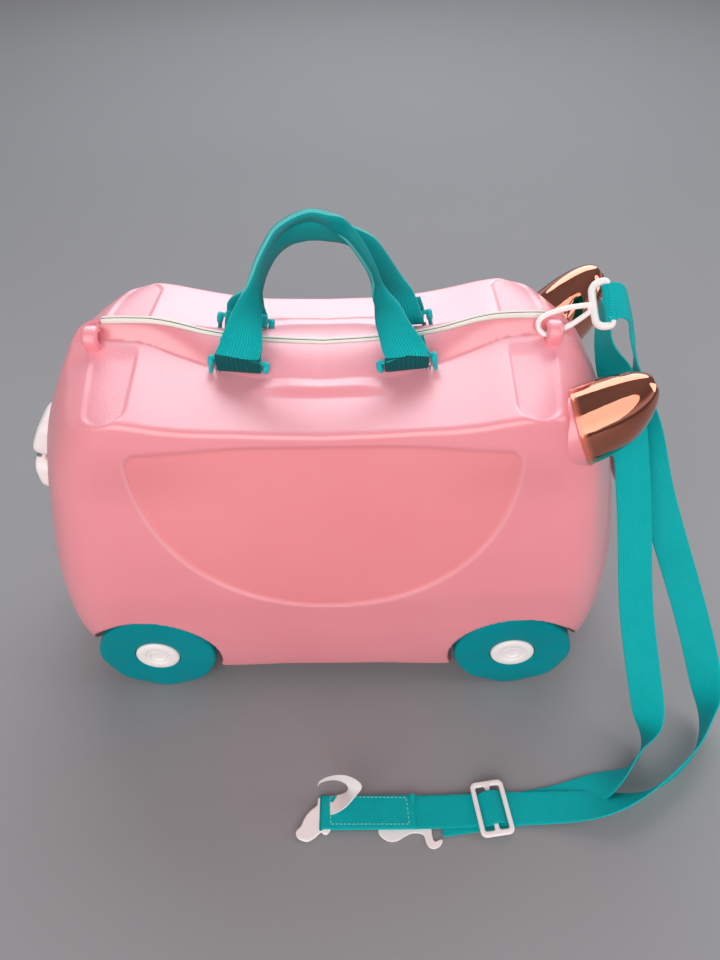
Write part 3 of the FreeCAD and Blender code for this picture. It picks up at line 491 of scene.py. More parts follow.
PINK = shell_material()
CREAM = plastic("trim_cream", srgb(240, 232, 222), 0.38, 0.04, 0.03)
WHITE = plastic("part_white", srgb(249, 240, 238), 0.34, 0.05, 0.03)
TEAL = plastic("anchor_teal", (0.0, 0.46, 0.49, 1.0), 0.28, 0.05, 0.08, 900.0, 0.3)
WHEEL = plastic("wheel_teal", (0.0, 0.25, 0.285, 1.0), 0.34, 0.08, 0.08, 700.0, 0.10)
STRAP = webbing("webbing_tow", (0.0, 0.50, 0.51, 1.0), 0.0017, 0.0015, 0.25, 1.0, 0.03)
BAND = webbing("webbing_teal", (0.0, 0.50, 0.51, 1.0), 0.0016, 0.0013, 0.9, 0.9, 0.04, 0.7)
# painted shade: a dark copy of the teal webbing, with a coarser weave, for the strips where the handle bends under in
# shade
WEBBING_UNDERSIDE_SHADE = webbing("webbing_underside_shade", (0.0, 0.10, 0.105, 1.0), 0.0024, 0.0022, 0.8, 1.0, 0.02)
COPPER = copper_material()
# painted shade: a dark brown for the faces in the trim's groove, where shade falls between the beads
GROOVE_SHADE = plastic("trim_groove_shade", srgb(104, 90, 88), 0.6, 0.05, 0.1)
STEEL = steel_material()
LABEL = label_material()
THREAD = plastic("thread_pale", srgb(150, 222, 216), 0.6, 0.1, 0.05)

# ------------------------------------------------- tow strap: the two free cords
# Route of each run as in the CAD: a point, and the way the width lies there.
LOWER = [((183, -4.8, 312.8), (0.05, -0.85, -0.52)), ((183.6, -5.2, 303), (0.1, -0.95, -0.2)), ((186.5, -6.5, 288), (0.35, -0.93, 0)),
         ((195, -10.5, 270), (0.8, -0.6, 0.1)), ((204, -20, 251), (1, -0.2, 0.1)), ((211.5, -33, 228), (1, 0.1, 0.1)),
         ((217.5, -47.5, 196), (1, 0.1, 0.1)),
         ((223.5, -66, 158), (1, 0.1, 0.15)), ((229, -92, 108), (1, 0.05, 0.25)), ((239, -120, 62), (0.9, 0.0, 0.5)),
         ((246, -143, 31), (0.5, 0.2, 0.85)), ((243, -160, 16.5), (0.1, 0.1, 1)), ((232, -173, 13.2), (0, 0, 1)),
         ((216, -182.5, 9.6), (0.0, -0.7, 0.7)), ((197, -190.5, 3.7), (0.15, -0.98, 0.12)), ((176, -197, 1.5), (0.2, -1, 0.0)),
         ((150, -202, 1.1), (0.15, -1, 0)), ((119, -206, 1.1), (0.1, -1, 0)), ((95, -209, 1.1), (0.12, -1, 0)),
         ((80, -211, 1.1), (0.15, -1, 0))]
UPPER = [((186.5, -4.5, 318.5), (0.05, -0.85, -0.52)), ((192.5, -3.2, 317.5), (0.05, -0.85, -0.52)), ((197.5, -1.0, 312.5), (0.05, -0.85, -0.52)),
         ((201, 0.8, 305), (-0.12, -0.9, -0.2)), ((205, 0.0, 293), (-0.3, -0.95, 0.1)), ((210.8, -5.2, 275), (-0.25, -0.96, 0.15)),
         ((218, -14.5, 251), (0.3, -0.93, 0.2)), ((227, -25, 218), (0.9, -0.45, 0.25)),
         ((239, -39, 180), (1, 0, 0.3)), ((257, -56, 138), (1, 0.1, 0.4)), ((277, -78, 92), (1, 0.1, 0.5)),
         ((293, -102, 50), (0.8, 0.1, 0.65)), ((299, -124, 25), (0.4, 0.1, 0.9)), ((295, -144, 14.5), (0.1, 0.0, 1)),
         ((284, -162, 13.2), (0, 0, 1)), ((268, -177, 13.2), (0, 0, 1)), ((249, -190, 13.4), (0, -0.1, 1)),
         ((229, -198.5, 13.0), (0.0, -0.45, 0.9)), ((208, -203, 11.2), (0.1, -0.8, 0.58)), ((186, -203.5, 6.4), (0.1, -0.98, 0.2)),
         ((155, -203.3, 3.0), (0.05, -1, 0)), ((119, -204, 2.75), (0.03, -1, 0)), ((80, -205.5, 2.75), (0.03, -1, 0)),
         ((40, -206.0, 2.75), (0.02, -1, 0)), ((-9, -206.0, 2.75), (0.02, -1, 0))]


def spline_points(points):
    """Points in mm read from the NURBS spline that has these control points."""
    cu = bpy.data.curves.new("route", "CURVE")
    cu.dimensions = "3D"
    cu.resolution_u = 10
    sp = cu.splines.new("NURBS")
    sp.points.add(len(points) - 1)
    for q, p in zip(sp.points, points):
        q.co = (p[0] * MM, p[1] * MM, p[2] * MM, 1.0)
    sp.order_u = 3
    sp.use_endpoint_u = True
    ob = bpy.data.objects.new("route", cu)
    scene.collection.objects.link(ob)
    bpy.context.view_layer.update()
    me = bpy.data.meshes.new_from_object(ob)
    out = np.array([v.co for v in me.vertices]) / MM
    bpy.data.objects.remove(ob)
    bpy.data.curves.remove(cu)
    bpy.data.meshes.remove(me)
    return out


def tape(name, centre, wide, width, thick, mat, cup=0.0, floor=None):
    """Flat webbing along points, with the way its width lies at each of them."""
    n = len(centre)
    run = np.concatenate([[0], np.cumsum(np.linalg.norm(np.diff(centre, axis=0), axis=1))])
    half, ht = width / 2, thick / 2
    across = [-1.0, -0.985, -0.94, -0.86, -0.6, -0.3, 0.0, 0.3, 0.6, 0.86, 0.94, 0.985, 1.0]
    swell = [0.0, 0.62, 0.92, 1.0, 0.93, 0.93, 0.93, 0.93, 0.93, 1.0, 0.92, 0.62, 0.0]
    prof = [(a, s) for a, s in zip(across, swell)] + [(a, -s) for a, s in list(zip(across, swell))[-2:0:-1]]
    rings = []
    for i in range(n):
        t = unit(centre[min(i + 1, n - 1)] - centre[max(i - 1, 0)])
        w = unit(wide[i] - t * (wide[i] @ t))
        nn = np.cross(t, w)
        ring = [centre[i] + w * half * a + nn * (ht * s + cup * (a * a - 0.4)) for a, s in prof]
        rings.append(ring)
    ob = loft(name, rings, mat, True, 50)
    fix_normals(ob)
    layer = ob.data.uv_layers.new(name="run")
    m = len(prof)
    us = [a * half * MM for a, s in prof]
    for p in ob.data.polygons:
        for li in p.loop_indices:
            vi = ob.data.loops[li].vertex_index
            layer.data[li].uv = (us[vi % m], run[min(vi // m, n - 1)] * MM)
    return ob


def strap(name, route):
    centre = spline_points([p for p, w in route])
    edge = spline_points([tuple(np.asarray(p, float) + unit(w) * 12.5) for p, w in route])
    wide = edge - centre
    ob = tape(name, centre, wide, 25.0, 1.5, STRAP)
    return ob, centre


def length_of(p):
    return float(np.linalg.norm(np.diff(p, axis=0), axis=1).sum())


strap_upper, upper_line = strap("strap_upper_run", UPPER)
strap_lower, lower_line = strap("strap_lower_run", LOWER)
for ob, node in ((strap_upper, "tow_strap_upper"), (strap_lower, "tow_strap_lower")):
    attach(ob, "near_half")
    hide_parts(node)


# ------------------------------------------------------------ form of the shells
def pchip(xs, ys):
    xs, ys = np.array(xs, float), np.array(ys, float)
    h = np.diff(xs)
    d = np.diff(ys) / h
    m = np.zeros(len(xs))
    for i in range(1, len(xs) - 1):
        if d[i - 1] * d[i] > 0:
            w1, w2 = 2 * h[i] + h[i - 1], h[i] + 2 * h[i - 1]
            m[i] = (w1 + w2) / (w1 / d[i - 1] + w2 / d[i])
    m[0], m[-1] = d[0], d[-1]

    def f(x):
        x = np.asarray(x, float)
        i = np.clip(np.searchsorted(xs, x) - 1, 0, len(xs) - 2)
        t = (x - xs[i]) / h[i]
        c = np.clip(t, 0, 1)
        v = ((1 + 2 * c) * (1 - c) ** 2 * ys[i] + c * (1 - c) ** 2 * h[i] * m[i]
             + c * c * (3 - 2 * c) * ys[i + 1] + c * c * (c - 1) * h[i] * m[i + 1])
        return v + np.where(t < 0, t * h[i] * m[0], 0) + np.where(t > 1, (t - 1) * h[i] * m[-1], 0)
    return f


seam_height = pchip([0, 30, 52, 67, 80, 92, 103, 117, 136, 150, 200],
                    [286.2, 288, 290.2, 292.8, 296, 300, 303.4, 305.8, 306.4, 306.0, 303])
crease_height = pchip([0, 40, 76, 100, 115, 126, 150, 200],
                      [270.3, 271.4, 275, 279.5, 283.0, 284.5, 285, 285])
saddle_slope = pchip([0, 60, 90, 120, 200], [0.10, 0.12, 0.145, 0.16, 0.16])
spine_foot = pchip([0, 37, 60, 77, 100, 120, 150, 200], [31, 29, 25, 21, 15, 10, 8, 7])
half_width = pchip([10, 31, 60, 95, 125, 160, 200, 240, 270, 310],
                   [91.5, 96.2, 100.2, 102.2, 102.4, 99, 92.3, 84, 77, 67])
half_length = pchip([10, 30, 40, 60, 90, 120, 154, 190, 230, 241, 263, 283, 293, 303, 330],
                    [180, 205, 215, 223, 226.5, 224.5, 218.5, 210, 199.5, 195.5, 185, 173.5, 167.5, 160.5, 140])


def step(a, b, x):
    t = np.clip((x - a) / (b - a), 0, 1)
    return t * t * (3 - 2 * t)


def top_height(x, y):
    ax, ay = np.abs(x), np.abs(y)
    zc, sl, ft = crease_height(ax), saddle_slope(ax), spine_foot(ax)
    rise = seam_height(ax) - (zc + 77 * sl)
    lip = 3.2 * (1 - step(20, 52, ax))
    return (zc + sl * (77 - ay) + (rise - lip) * (1 - np.minimum(ay / ft, 1) ** 1.9)
            + lip * (1 - step(37, 45, ay)))


def smooth_max(a, b, k):
    h = np.maximum(k - np.abs(a - b), 0) / k
    return np.maximum(a, b) + h * h * k / 4


def outside(x, y, z, off=0.0):
    """Below zero inside the case's outer form, moved inwards by off (mm)."""
    ax, ay = np.abs(x), np.abs(y)
    gt = z - top_height(x, y) + off
    gs = ay - (half_width(z) - 3.0 * (ax / 190) ** 2 + 7.5 * step(40, 125, ax) * step(215, 268, z)) + off
    ge = (ax - (half_length(z) - ay * ay / 274.0)) * 0.93 + off
    gb = 27.0 - 4.5 * step(30, 92, ax) * step(18, 45, ay) - z + off
    f = smooth_max(gt, gs, 3.6)
    w = step(-25, 10, gt - gs)
    kt = 12 + 12.0 * step(8, 30, ay)
    f = smooth_max(f, ge, 20 + (kt - 20) * w)
    return smooth_max(f, gb, 11.0)


def normal_at(p, h=0.4):
    x, y, z = p[:, 0], p[:, 1], p[:, 2]
    g = np.stack([outside(x + h, y, z) - outside(x - h, y, z), outside(x, y + h, z) - outside(x, y - h, z),
                  outside(x, y, z + h) - outside(x, y, z - h)], 1)
    return g / np.linalg.norm(g, axis=1)[:, None]


CORE_X, CORE_Z = 130.0, 110.0


def cast(ox, dirs, off):
    """Distance along each ray from the core line to the form."""
    lo = np.zeros(len(ox))
    hi = np.full(len(ox), 330.0)
    for _ in range(30):
        mid = (lo + hi) / 2
        inside = outside(ox + dirs[:, 0] * mid, dirs[:, 1] * mid, CORE_Z + dirs[:, 2] * mid, off) < 0
        lo, hi = np.where(inside, mid, lo), np.where(inside, hi, mid)
    return lo


def spaced(a, b, spacing):
    """Values from a to b whose spacing follows a function of the value."""
    out, x = [a], a
    while x < b:
        x += spacing(x)
        out.append(x)
    s = np.array(out)
    return a + (s - a) * (b - a) / (s[-1] - a)


COARSE = 1.0


def grid_angles():
    """Angles down the section, from the seam's top to its foot."""
    fine = np.linspace(0, 180, 1441)
    d = np.stack([np.zeros_like(fine), np.sin(np.radians(fine)), np.cos(np.radians(fine))], 1)
    r = cast(np.zeros_like(fine), d, 0.0)
    y, z = r * d[:, 1], CORE_Z + r * d[:, 2]
    s = np.concatenate([[0], np.cumsum(np.hypot(np.diff(y), np.diff(z)))])

    def pitch(q):
        zz, yy = np.interp(q, s, z), np.interp(q, s, y)
        if zz > 262:
            return 1.15 * COARSE
        if zz > 112:
            return 1.75 * COARSE
        if zz > 40:
            return 2.2 * COARSE
        return 4.5 if yy < 70 else 2.2
    q = spaced(0.0, float(s[-1]), pitch)
    return np.interp(q, s, fine)


def grid_columns():
    """(core x, angle round the end) of each section."""
    mid = spaced(0.0, CORE_X, lambda x: (1.9 if x < 104 else 1.1) * COARSE)
    end = spaced(0.0, 90.0, lambda a: (0.38 if a < 11 else 0.75 if a < 30 else 1.2) * COARSE)
    cols = [(-CORE_X, -a) for a in end[:0:-1]] + [(-x, 0.0) for x in mid[:0:-1]] + [(x, 0.0) for x in mid]
    cols += [(CORE_X, a) for a in end[1:]]
    return cols


# features of the surface, as distances in mm (below zero inside them)
def moon_distance(x, z):
    a, b, r = z - 263.0, np.hypot(x * 0.945, z - 243.0) - 120.0, 9.0
    ua, ub = np.maximum(r + a, 0), np.maximum(r + b, 0)
    return np.minimum(np.maximum(a, b), -r) + np.hypot(ua, ub)


def pad_distance(x, y):
    ax, ay = np.abs(x), np.abs(y)
    a = np.abs(ax - np.interp(ay, [0, 30, 60, 80], [135.2, 135.2, 134.8, 134.2])) - np.interp(ay, [0, 30, 60, 80], [15.2, 15.2, 14.5, 14.0])
    b, r = ay - 79.3, 13.7
    ua, ub = np.maximum(r + a, 0), np.maximum(r + b, 0)
    return np.minimum(np.maximum(a, b), -r) + np.hypot(ua, ub)


WX, WZ = 143.6, 46.5


def relief(p, n):
    """How far each point of the outer face moves along its normal."""
    x, y, z = p[:, 0], p[:, 1], p[:, 2]
    d = np.zeros(len(p))
    side = (np.abs(n[:, 1]) > 0.55) & (z > 112) & (z < 275)
    d -= np.where(side, 1.6 * (1 - step(-2.2, 0.3, moon_distance(x, z))), 0)
    top = (z > 255) & (np.abs(x) > 110)
    pd = pad_distance(x, y)
    d -= np.where(top, 1.7 * (1 - step(-2.4, 0.4, pd)) * step(13, 27, np.abs(y)), 0)
    # rounded edge of the wheel arches
    r = np.hypot(np.abs(x) - WX, z - WZ) - 52.2
    q = np.clip(1 - r / 2.0, 0, 1)
    d -= np.where(np.abs(y) > 60, 2.0 * (1 - np.sqrt(np.maximum(1 - q * q, 0))), 0)
    return d


ANG = grid_angles()
COLS = grid_columns()


def half_grid(side, off, cols, angs, deform):
    """Points of one half's face: sections by angles, one point at each end."""
    a = np.radians(np.asarray(angs))
    pts = []
    inner = cols[1:-1]
    ox = np.repeat([c[0] for c in inner], len(a))
    ph = np.radians(np.repeat([c[1] for c in inner], len(a)))
    aa = np.tile(a, len(inner))
    d = np.stack([np.sin(ph), side * np.cos(ph) * np.sin(aa), np.cos(ph) * np.cos(aa)], 1)
    r = cast(ox, d, off)
    p = np.stack([ox + d[:, 0] * r, d[:, 1] * r, CORE_Z + d[:, 2] * r], 1)
    poles = []
    for s in (-1, 1):
        dd = np.array([[float(s), 0.0, 0.0]])
        rr = cast(np.array([s * CORE_X]), dd, off)
        poles.append([s * (CORE_X + rr[0]), 0.0, CORE_Z])
    if deform:
        n = normal_at(p)
        p = p + n * relief(p, n)[:, None]
    p[:, 1] = side * np.maximum(np.abs(p[:, 1]), 0.25)
    for q in poles:
        q[1] = side * 0.25
    return np.array(poles[0]), p.reshape(len(inner), len(a), 3), np.array(poles[1])


def face_list(nc, na, first):
    """Faces over the sections, with fans at the two ends. Vertex first is the -X end."""
    f = []
    base = first + 1
    for j in range(na - 1):
        f.append((first, base + j + 1, base + j))
    for i in range(nc - 1):
        for j in range(na - 1):
            f.append((base + i * na + j, base + i * na + j + 1, base + (i + 1) * na + j + 1, base + (i + 1) * na + j))
    last = base + nc * na
    top = base + (nc - 1) * na
    for j in range(na - 1):
        f.append((last, top + j, top + j + 1))
    return f


def rim_loop(nc, na, first):
    """Vertex numbers round the rim: along the top from -X to +X and back along the foot."""
    base = first + 1
    last = base + nc * na
    return [first] + [base + i * na for i in range(nc)] + [last] + [base + i * na + na - 1 for i in range(nc - 1, -1, -1)]


def closed_form(name, side, off, cols, angs, deform):
    p0, p, p1 = half_grid(side, off, cols, angs, deform)
    nc, na = p.shape[0], p.shape[1]
    verts = np.vstack([p0[None], p.reshape(-1, 3), p1[None]])
    faces = face_list(nc, na, 0)
    faces.append(tuple(rim_loop(nc, na, 0)))
    return fix_normals(new_object(name, verts, faces, None))


def shell_half(side):
    tag = "near" if side < 0 else "far"
    outer = closed_form("outer_" + tag, side, 0.0, COLS, ANG, True)
    solid = outer.copy()
    solid.data = outer.data.copy()
    scene.collection.objects.link(solid)
    step_c, step_a = 4, 4
    cols = [COLS[0]] + COLS[1:-1:step_c] + [COLS[-1]]
    angs = list(ANG[:-1:step_a]) + [ANG[-1]]
    cavity = closed_form("cavity_" + tag, side, 3.0, cols, angs, False)
    # the cavity reaches through the rim
    co = np.zeros(len(cavity.data.vertices) * 3)
    cavity.data.vertices.foreach_get("co", co)
    co = co.reshape(-1, 3)
    co[np.abs(co[:, 1]) < 0.26 * MM, 1] = -side * 2.0 * MM
    cavity.data.vertices.foreach_set("co", co.ravel())
    shell = boolean(outer, cavity, "DIFFERENCE")
    for fx in (-1, 1):
        c = (fx * WX, side * 63.4, WZ)
        house = cylinder_mesh("house", c, (0, side, 0), 55.2, 45.0)
        boolean(house, solid, "INTERSECT", keep=True)
        boolean(shell, house, "UNION")
        boolean(shell, cylinder_mesh("bay", (fx * WX, side * 66.4, WZ), (0, side, 0), 52.2, 60.0), "DIFFERENCE")
        boolean(shell, cylinder_mesh("boss", (fx * WX, side * 52.0, WZ), (0, side, 0), 9.0, 17.6, None, 48, 0.8), "UNION")
        boolean(shell, cylinder_mesh("bore", (fx * WX, side * 45.0, WZ), (0, side, 0), 5.0, 40.0, None, 32), "DIFFERENCE")
    # rebate under the trim
    xs = np.linspace(-146.6, 146.6, 75)
    w = 3.1 if side < 0 else 3.0
    rings = []
    for x in xs:
        z = float(top_height(x, 0.0))
        ya, yb = (-w, 3.0) if side < 0 else (-3.0, w)
        rings.append([(x, ya, z - 5.2), (x, yb, z - 5.2), (x, yb, z + 8), (x, ya, z + 8)])
    boolean(shell, fix_normals(loft("rebate", rings, None, True)), "DIFFERENCE")
    # hinge under the seam
    near_k, far_k = [(-110, -70), (-20, 20), (70, 110)], [(-69.5, -20.5), (20.5, 69.5)]
    own, other = (near_k, far_k) if side < 0 else (far_k, near_k)
    for a, b in other:
        boolean(shell, cylinder_mesh("room", (a - 0.5, 0, 24.0), (1, 0, 0), 5.6, b - a + 1.0, None, 40), "DIFFERENCE")
    for a, b in own:
        ya, yb = (-12.0, -0.25) if side < 0 else (0.25, 12.0)
        boolean(shell, box_mesh("leaf", (a, ya, 23.5), (b, yb, 28.2)), "UNION")
        boolean(shell, cylinder_mesh("knuckle", (a, 0, 24.0), (1, 0, 0), 5.0, b - a, None, 40, 0.5), "UNION")
    boolean(shell, cylinder_mesh("pinbore", (-130, 0, 24.0), (1, 0, 0), 2.05, 260.0, None, 28), "DIFFERENCE")
    if side < 0:
        for fx in (-1, 1):
            loop = tow_loop(fx)
            boolean(loop, cavity_solid(side), "DIFFERENCE")
            boolean(shell, loop, "UNION")
            boolean(shell, cylinder_mesh("bore", (fx * 150 - 12, -13.5, 301), (1, 0, 0), 4.2, 24, None, 40), "DIFFERENCE")
    remove(solid)
    shell.name = "case_%s_half" % tag
    shell.data.name = shell.name
    finish_shell(shell)
    return shell


def cavity_solid(side):
    cols = [COLS[0]] + COLS[1:-1:6] + [COLS[-1]]
    return closed_form("cavity", side, 3.0, cols, list(ANG[:-1:6]) + [ANG[-1]], False)


def tow_loop(fx):
    """A moulded eye beside the spine, with rounded edges."""
    c = np.array([fx * 150.0, -13.5, 301.0])
    rings = []
    h, r0, bev = 5.4, 8.0, 3.4
    arc = np.linspace(0, math.pi / 2, 9)
    prof = [(r0 - bev + bev * math.sin(q), -h + bev - bev * math.cos(q)) for q in arc]
    prof += [(r0 - bev + bev * math.cos(q), h - bev + bev * math.sin(q)) for q in arc]
    for r, s in prof:
        ring = []
        for t in np.linspace(0, 2 * math.pi, 56, endpoint=False):
            cy, cz = math.cos(t), math.sin(t)
            # the lower half runs down into the wall
            drop = -9.0 * max(0.0, -cz) ** 1.2
            inward = 5.0 * max(0.0, -cz) ** 1.2
            ring.append(c + np.array([s, cy * r * (1.0 + 0.08 * max(0, -cz)) + inward, cz * r + drop]))
        rings.append(ring)
    return fix_normals(loft("tow_loop", rings, None, True))


def finish_shell(ob):
    me = ob.data
    me.materials.clear()
    me.materials.append(PINK)
    me.shade_smooth()
    me.set_sharp_from_angle(angle=math.radians(38))
    co = np.zeros(len(me.vertices) * 3)
    me.vertices.foreach_get("co", co)
    p = co.reshape(-1, 3) / MM
    f = outside(p[:, 0], p[:, 1], p[:, 2])
    skin = f > -2.2
    moon = np.where(skin & (p[:, 2] > 112) & (np.abs(p[:, 1]) > 60), 1 - step(-1.2, 0.0, moon_distance(p[:, 0], p[:, 2])), 0)
    pad = np.where(skin & (p[:, 2] > 255) & (np.abs(p[:, 0]) > 110) & (np.abs(p[:, 1]) > 11),
                   (1 - step(-1.8, -0.4, pad_distance(p[:, 0], p[:, 1]))) * step(11, 22, np.abs(p[:, 1])), 0)
    md = moon_distance(p[:, 0], p[:, 2])
    # edge: mask for the painted highlight line along the moon panel's edge
    edge = np.where(skin & (p[:, 2] > 112) & (p[:, 2] < 262) & (np.abs(p[:, 1]) > 60), np.exp(-(md / 0.9) ** 2), 0)
    for name, val in (("moon", moon), ("pad", pad), ("edge", edge)):
        at = me.attributes.get(name) or me.attributes.new(name, "FLOAT", "POINT")
        at.data.foreach_set("value", val.astype(np.float32))


for side, node, body in ((-1, "near_shell", "near_half"), (1, "far_shell", "far_half")):
    ob = shell_half(side)
    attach(ob, body)
    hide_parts(node)


# ------------------------------------------------------------------- seam trim
def seam_trim():
    """A soft strip with two beads and a groove, along the top of the seam."""
    half = [(2.45, -4.9), (2.45, -0.4), (2.4, 0.35), (2.1, 0.9), (1.55, 1.15), (1.0, 0.95), (0.62, 0.4), (0.45, -0.4), (0.3, -0.9)]
    prof = [(-y, h) for y, h in half] + half[::-1]
    rings = []
    xs = np.concatenate([[-145.9, -145.7, -145.2, -144.4], np.linspace(-143, 143, 131), [144.4, 145.2, 145.7, 145.9]])
    for i, x in enumerate(xs):
        e = min(1.0, math.sqrt(max(0.0, 1 - max(0.0, (abs(x) - 143.4) / 2.6) ** 2)))
        z = float(top_height(x, 0.0))
        rings.append([(x, y * (0.75 + 0.25 * e), z + (h if h < 0 else h * e)) for y, h in prof])
    ob = fix_normals(loft("seam_strip", rings, CREAM, True, 60))
    # the faces in the groove between the beads get the painted-shade material
    ob.data.materials.append(GROOVE_SHADE)
    m = len(prof)
    for f in ob.data.polygons:
        k = sorted(set(v % m for v in f.vertices))
        if len(f.vertices) == 4 and k[0] >= 6 and k[-1] <= m - 7:
            f.material_index = 1
    return ob


ob = seam_trim()
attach(ob, "near_half")
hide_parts("seal_trim")


# ---------------------------------------------------------------------- wheels
def wheel(name, cx, side):
    """A moulded wheel: shallow flats round its rim and eight soft facets on its face."""
    prof = [(6.0, 92.6), (18.3, 92.6), (19.0, 92.9), (20.0, 93.2), (30.0, 93.4), (40.0, 93.5), (43.4, 93.45), (44.7, 93.2),
            (45.6, 92.7), (46.15, 91.9), (46.42, 90.9), (46.5, 89.5), (46.5, 76.0), (46.3, 73.0), (45.6, 71.2), (44.2, 70.2),
            (42.0, 70.0), (40.5, 70.0), (40.2, 70.5), (40.0, 84.5), (39.5, 85.0), (12.5, 85.0), (12.0, 84.5), (12.0, 70.4),
            (11.6, 70.0), (6.0, 70.0)]
    rings = []
    n = 144
    for r, y in prof:
        ring = []
        for k in range(n):
            t = 2 * math.pi * k / n
            lobe = 0.5 - 0.5 * math.cos(8 * t)
            rr, yy = r, y + (3.2 if y > 86.0 else 0.0)
            if r > 42.0:
                rr = r + 0.4 - 0.35 * lobe * min(1.0, (r - 42.0) / 2.0)
            if y > 89.0 and r > 20:
                yy -= 0.9 * lobe * (r - 20) / 26.0
            ring.append((cx + rr * math.sin(t), side * yy, WZ - rr * math.cos(t)))
        rings.append(ring)
    ob = fix_normals(loft(name, rings, WHEEL, False, 42, True))
    return ob


def cap(name, cx, side):
    """The axle with its domed cap: a raised rim and a dished middle."""
    prof = [(0.01, 92.3), (4.6, 92.3), (5.4, 92.45), (5.9, 93.2), (6.5, 93.6), (7.4, 93.65), (8.1, 93.3), (8.6, 93.25), (9.3, 93.9),
            (10.2, 94.25), (13.2, 94.4), (15.4, 94.2), (16.7, 93.6), (17.4, 92.8), (17.5, 92.0), (17.5, 90.6), (17.2, 90.4), (5.2, 90.4),
            (5.0, 90.2), (5.0, 47.6), (4.4, 47.0), (0.01, 47.0)]
    n = 72
    rings = []
    for r, y in prof:
        y += 3.2 if y > 90.0 else 0.0
        rings.append([(cx + r * math.sin(2 * math.pi * k / n), side * y, WZ - r * math.cos(2 * math.pi * k / n)) for k in range(n)])
    return fix_normals(loft(name, rings, WHITE, True, 40))


for side, far in ((-1, "near"), (1, "far")):
    for fx, end in ((-1, "rear"), (1, "front")):
        tag = "%s_%s" % (end, far)
        ob = wheel("wheel_disc_" + tag, fx * WX, side)
        boolean(ob, cylinder_mesh("recess", (fx * WX, side * 93.2, WZ), (0, side, 0), 18.2, 12.0, None, 72), "DIFFERENCE")
        ob.data.shade_smooth()
        ob.data.set_sharp_from_angle(angle=math.radians(40))
        ob.data.materials.clear()
        ob.data.materials.append(WHEEL)
        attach(ob, "wheel_" + tag)
        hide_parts("wheel_" + tag)
        ob = cap("hub_cap_" + tag, fx * WX, side)
        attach(ob, "near_half" if side < 0 else "far_half")
        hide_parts("axle_" + tag)


# ----------------------------------------------------------------------- horns
def horn(name, side):
    el, yaw = (math.radians(34.0), -math.radians(4.0)) if side < 0 else (math.radians(41.0), math.radians(17.0))
    ax = np.array([math.cos(el) * math.cos(yaw), math.cos(el) * math.sin(yaw), math.sin(el)])
    e1 = np.array([-math.sin(el) * math.cos(yaw), -math.sin(el) * math.sin(yaw), math.cos(el)])
    e2 = np.cross(e1, ax)
    base = np.array([169.8, -60.0, 262.2]) if side < 0 else np.array([168.5, 57.5, 258.0])
    a, b, length, shift, power = 26.8, 23.9, 49.3, 10.2, 1.84
    angles = np.linspace(0, 2 * math.pi, 72, endpoint=False)

    def ring(t, r, back=0.0):
        """A ring at t along the axis; towards the foot its lower side is drawn back to the case."""
        s = max(t, 0.0)
        c = base + ax * (t * length - back) + e1 * (shift * s * s)
        draw = 10.0 * (1.0 - float(step(0.0, 0.5, t)))
        return [c + e1 * (a * r * math.cos(p)) + e2 * (b * r * math.sin(p)) - ax * (draw * (1 - math.cos(p)) / 2) for p in angles]
    ts = np.concatenate([[0.0, 0.006, 0.014, 0.024, 0.034], np.linspace(0.05, 0.2, 7), 1 - np.cos(np.linspace(0.66, math.pi / 2, 36))])
    rings, used = [], []
    for t in sorted(set(np.round(ts, 5))):
        if t >= 0.99995:
            continue
        used.append(t)
        r = (1 - t ** power) ** (1 / power) if t > 0 else 0.985
        if 0.004 < t < 0.026:
            r *= 1.01
        rings.append(ring(t, r))
    ob = fix_normals(loft(name, rings, COPPER, True, 60))
    # foot: mask for the painted reflection of the pink case at the horn's base
    at = ob.data.attributes.new("foot", "FLOAT", "POINT")
    at.data.foreach_set("value", np.repeat([1.0 - float(step(0.03, 0.11, t)) for t in used], 72).astype(np.float32))
    seat = fix_normals(loft(name.replace("grip", "seat"), [ring(0.0, k, d) for k, d in ((0.90, -0.2), (0.945, 0.4), (0.955, 2.0), (0.965, 5.0), (0.98, 10.0), (0.99, 18.0))], PINK, True, 60))
    return ob, seat


for side, far in ((-1, "near"), (1, "far")):
    ob, seat = horn("horn_grip_" + far, side)
    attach(seat, "near_half" if side < 0 else "far_half")
    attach(ob, "near_half" if side < 0 else "far_half")
    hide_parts("horn_" + far)

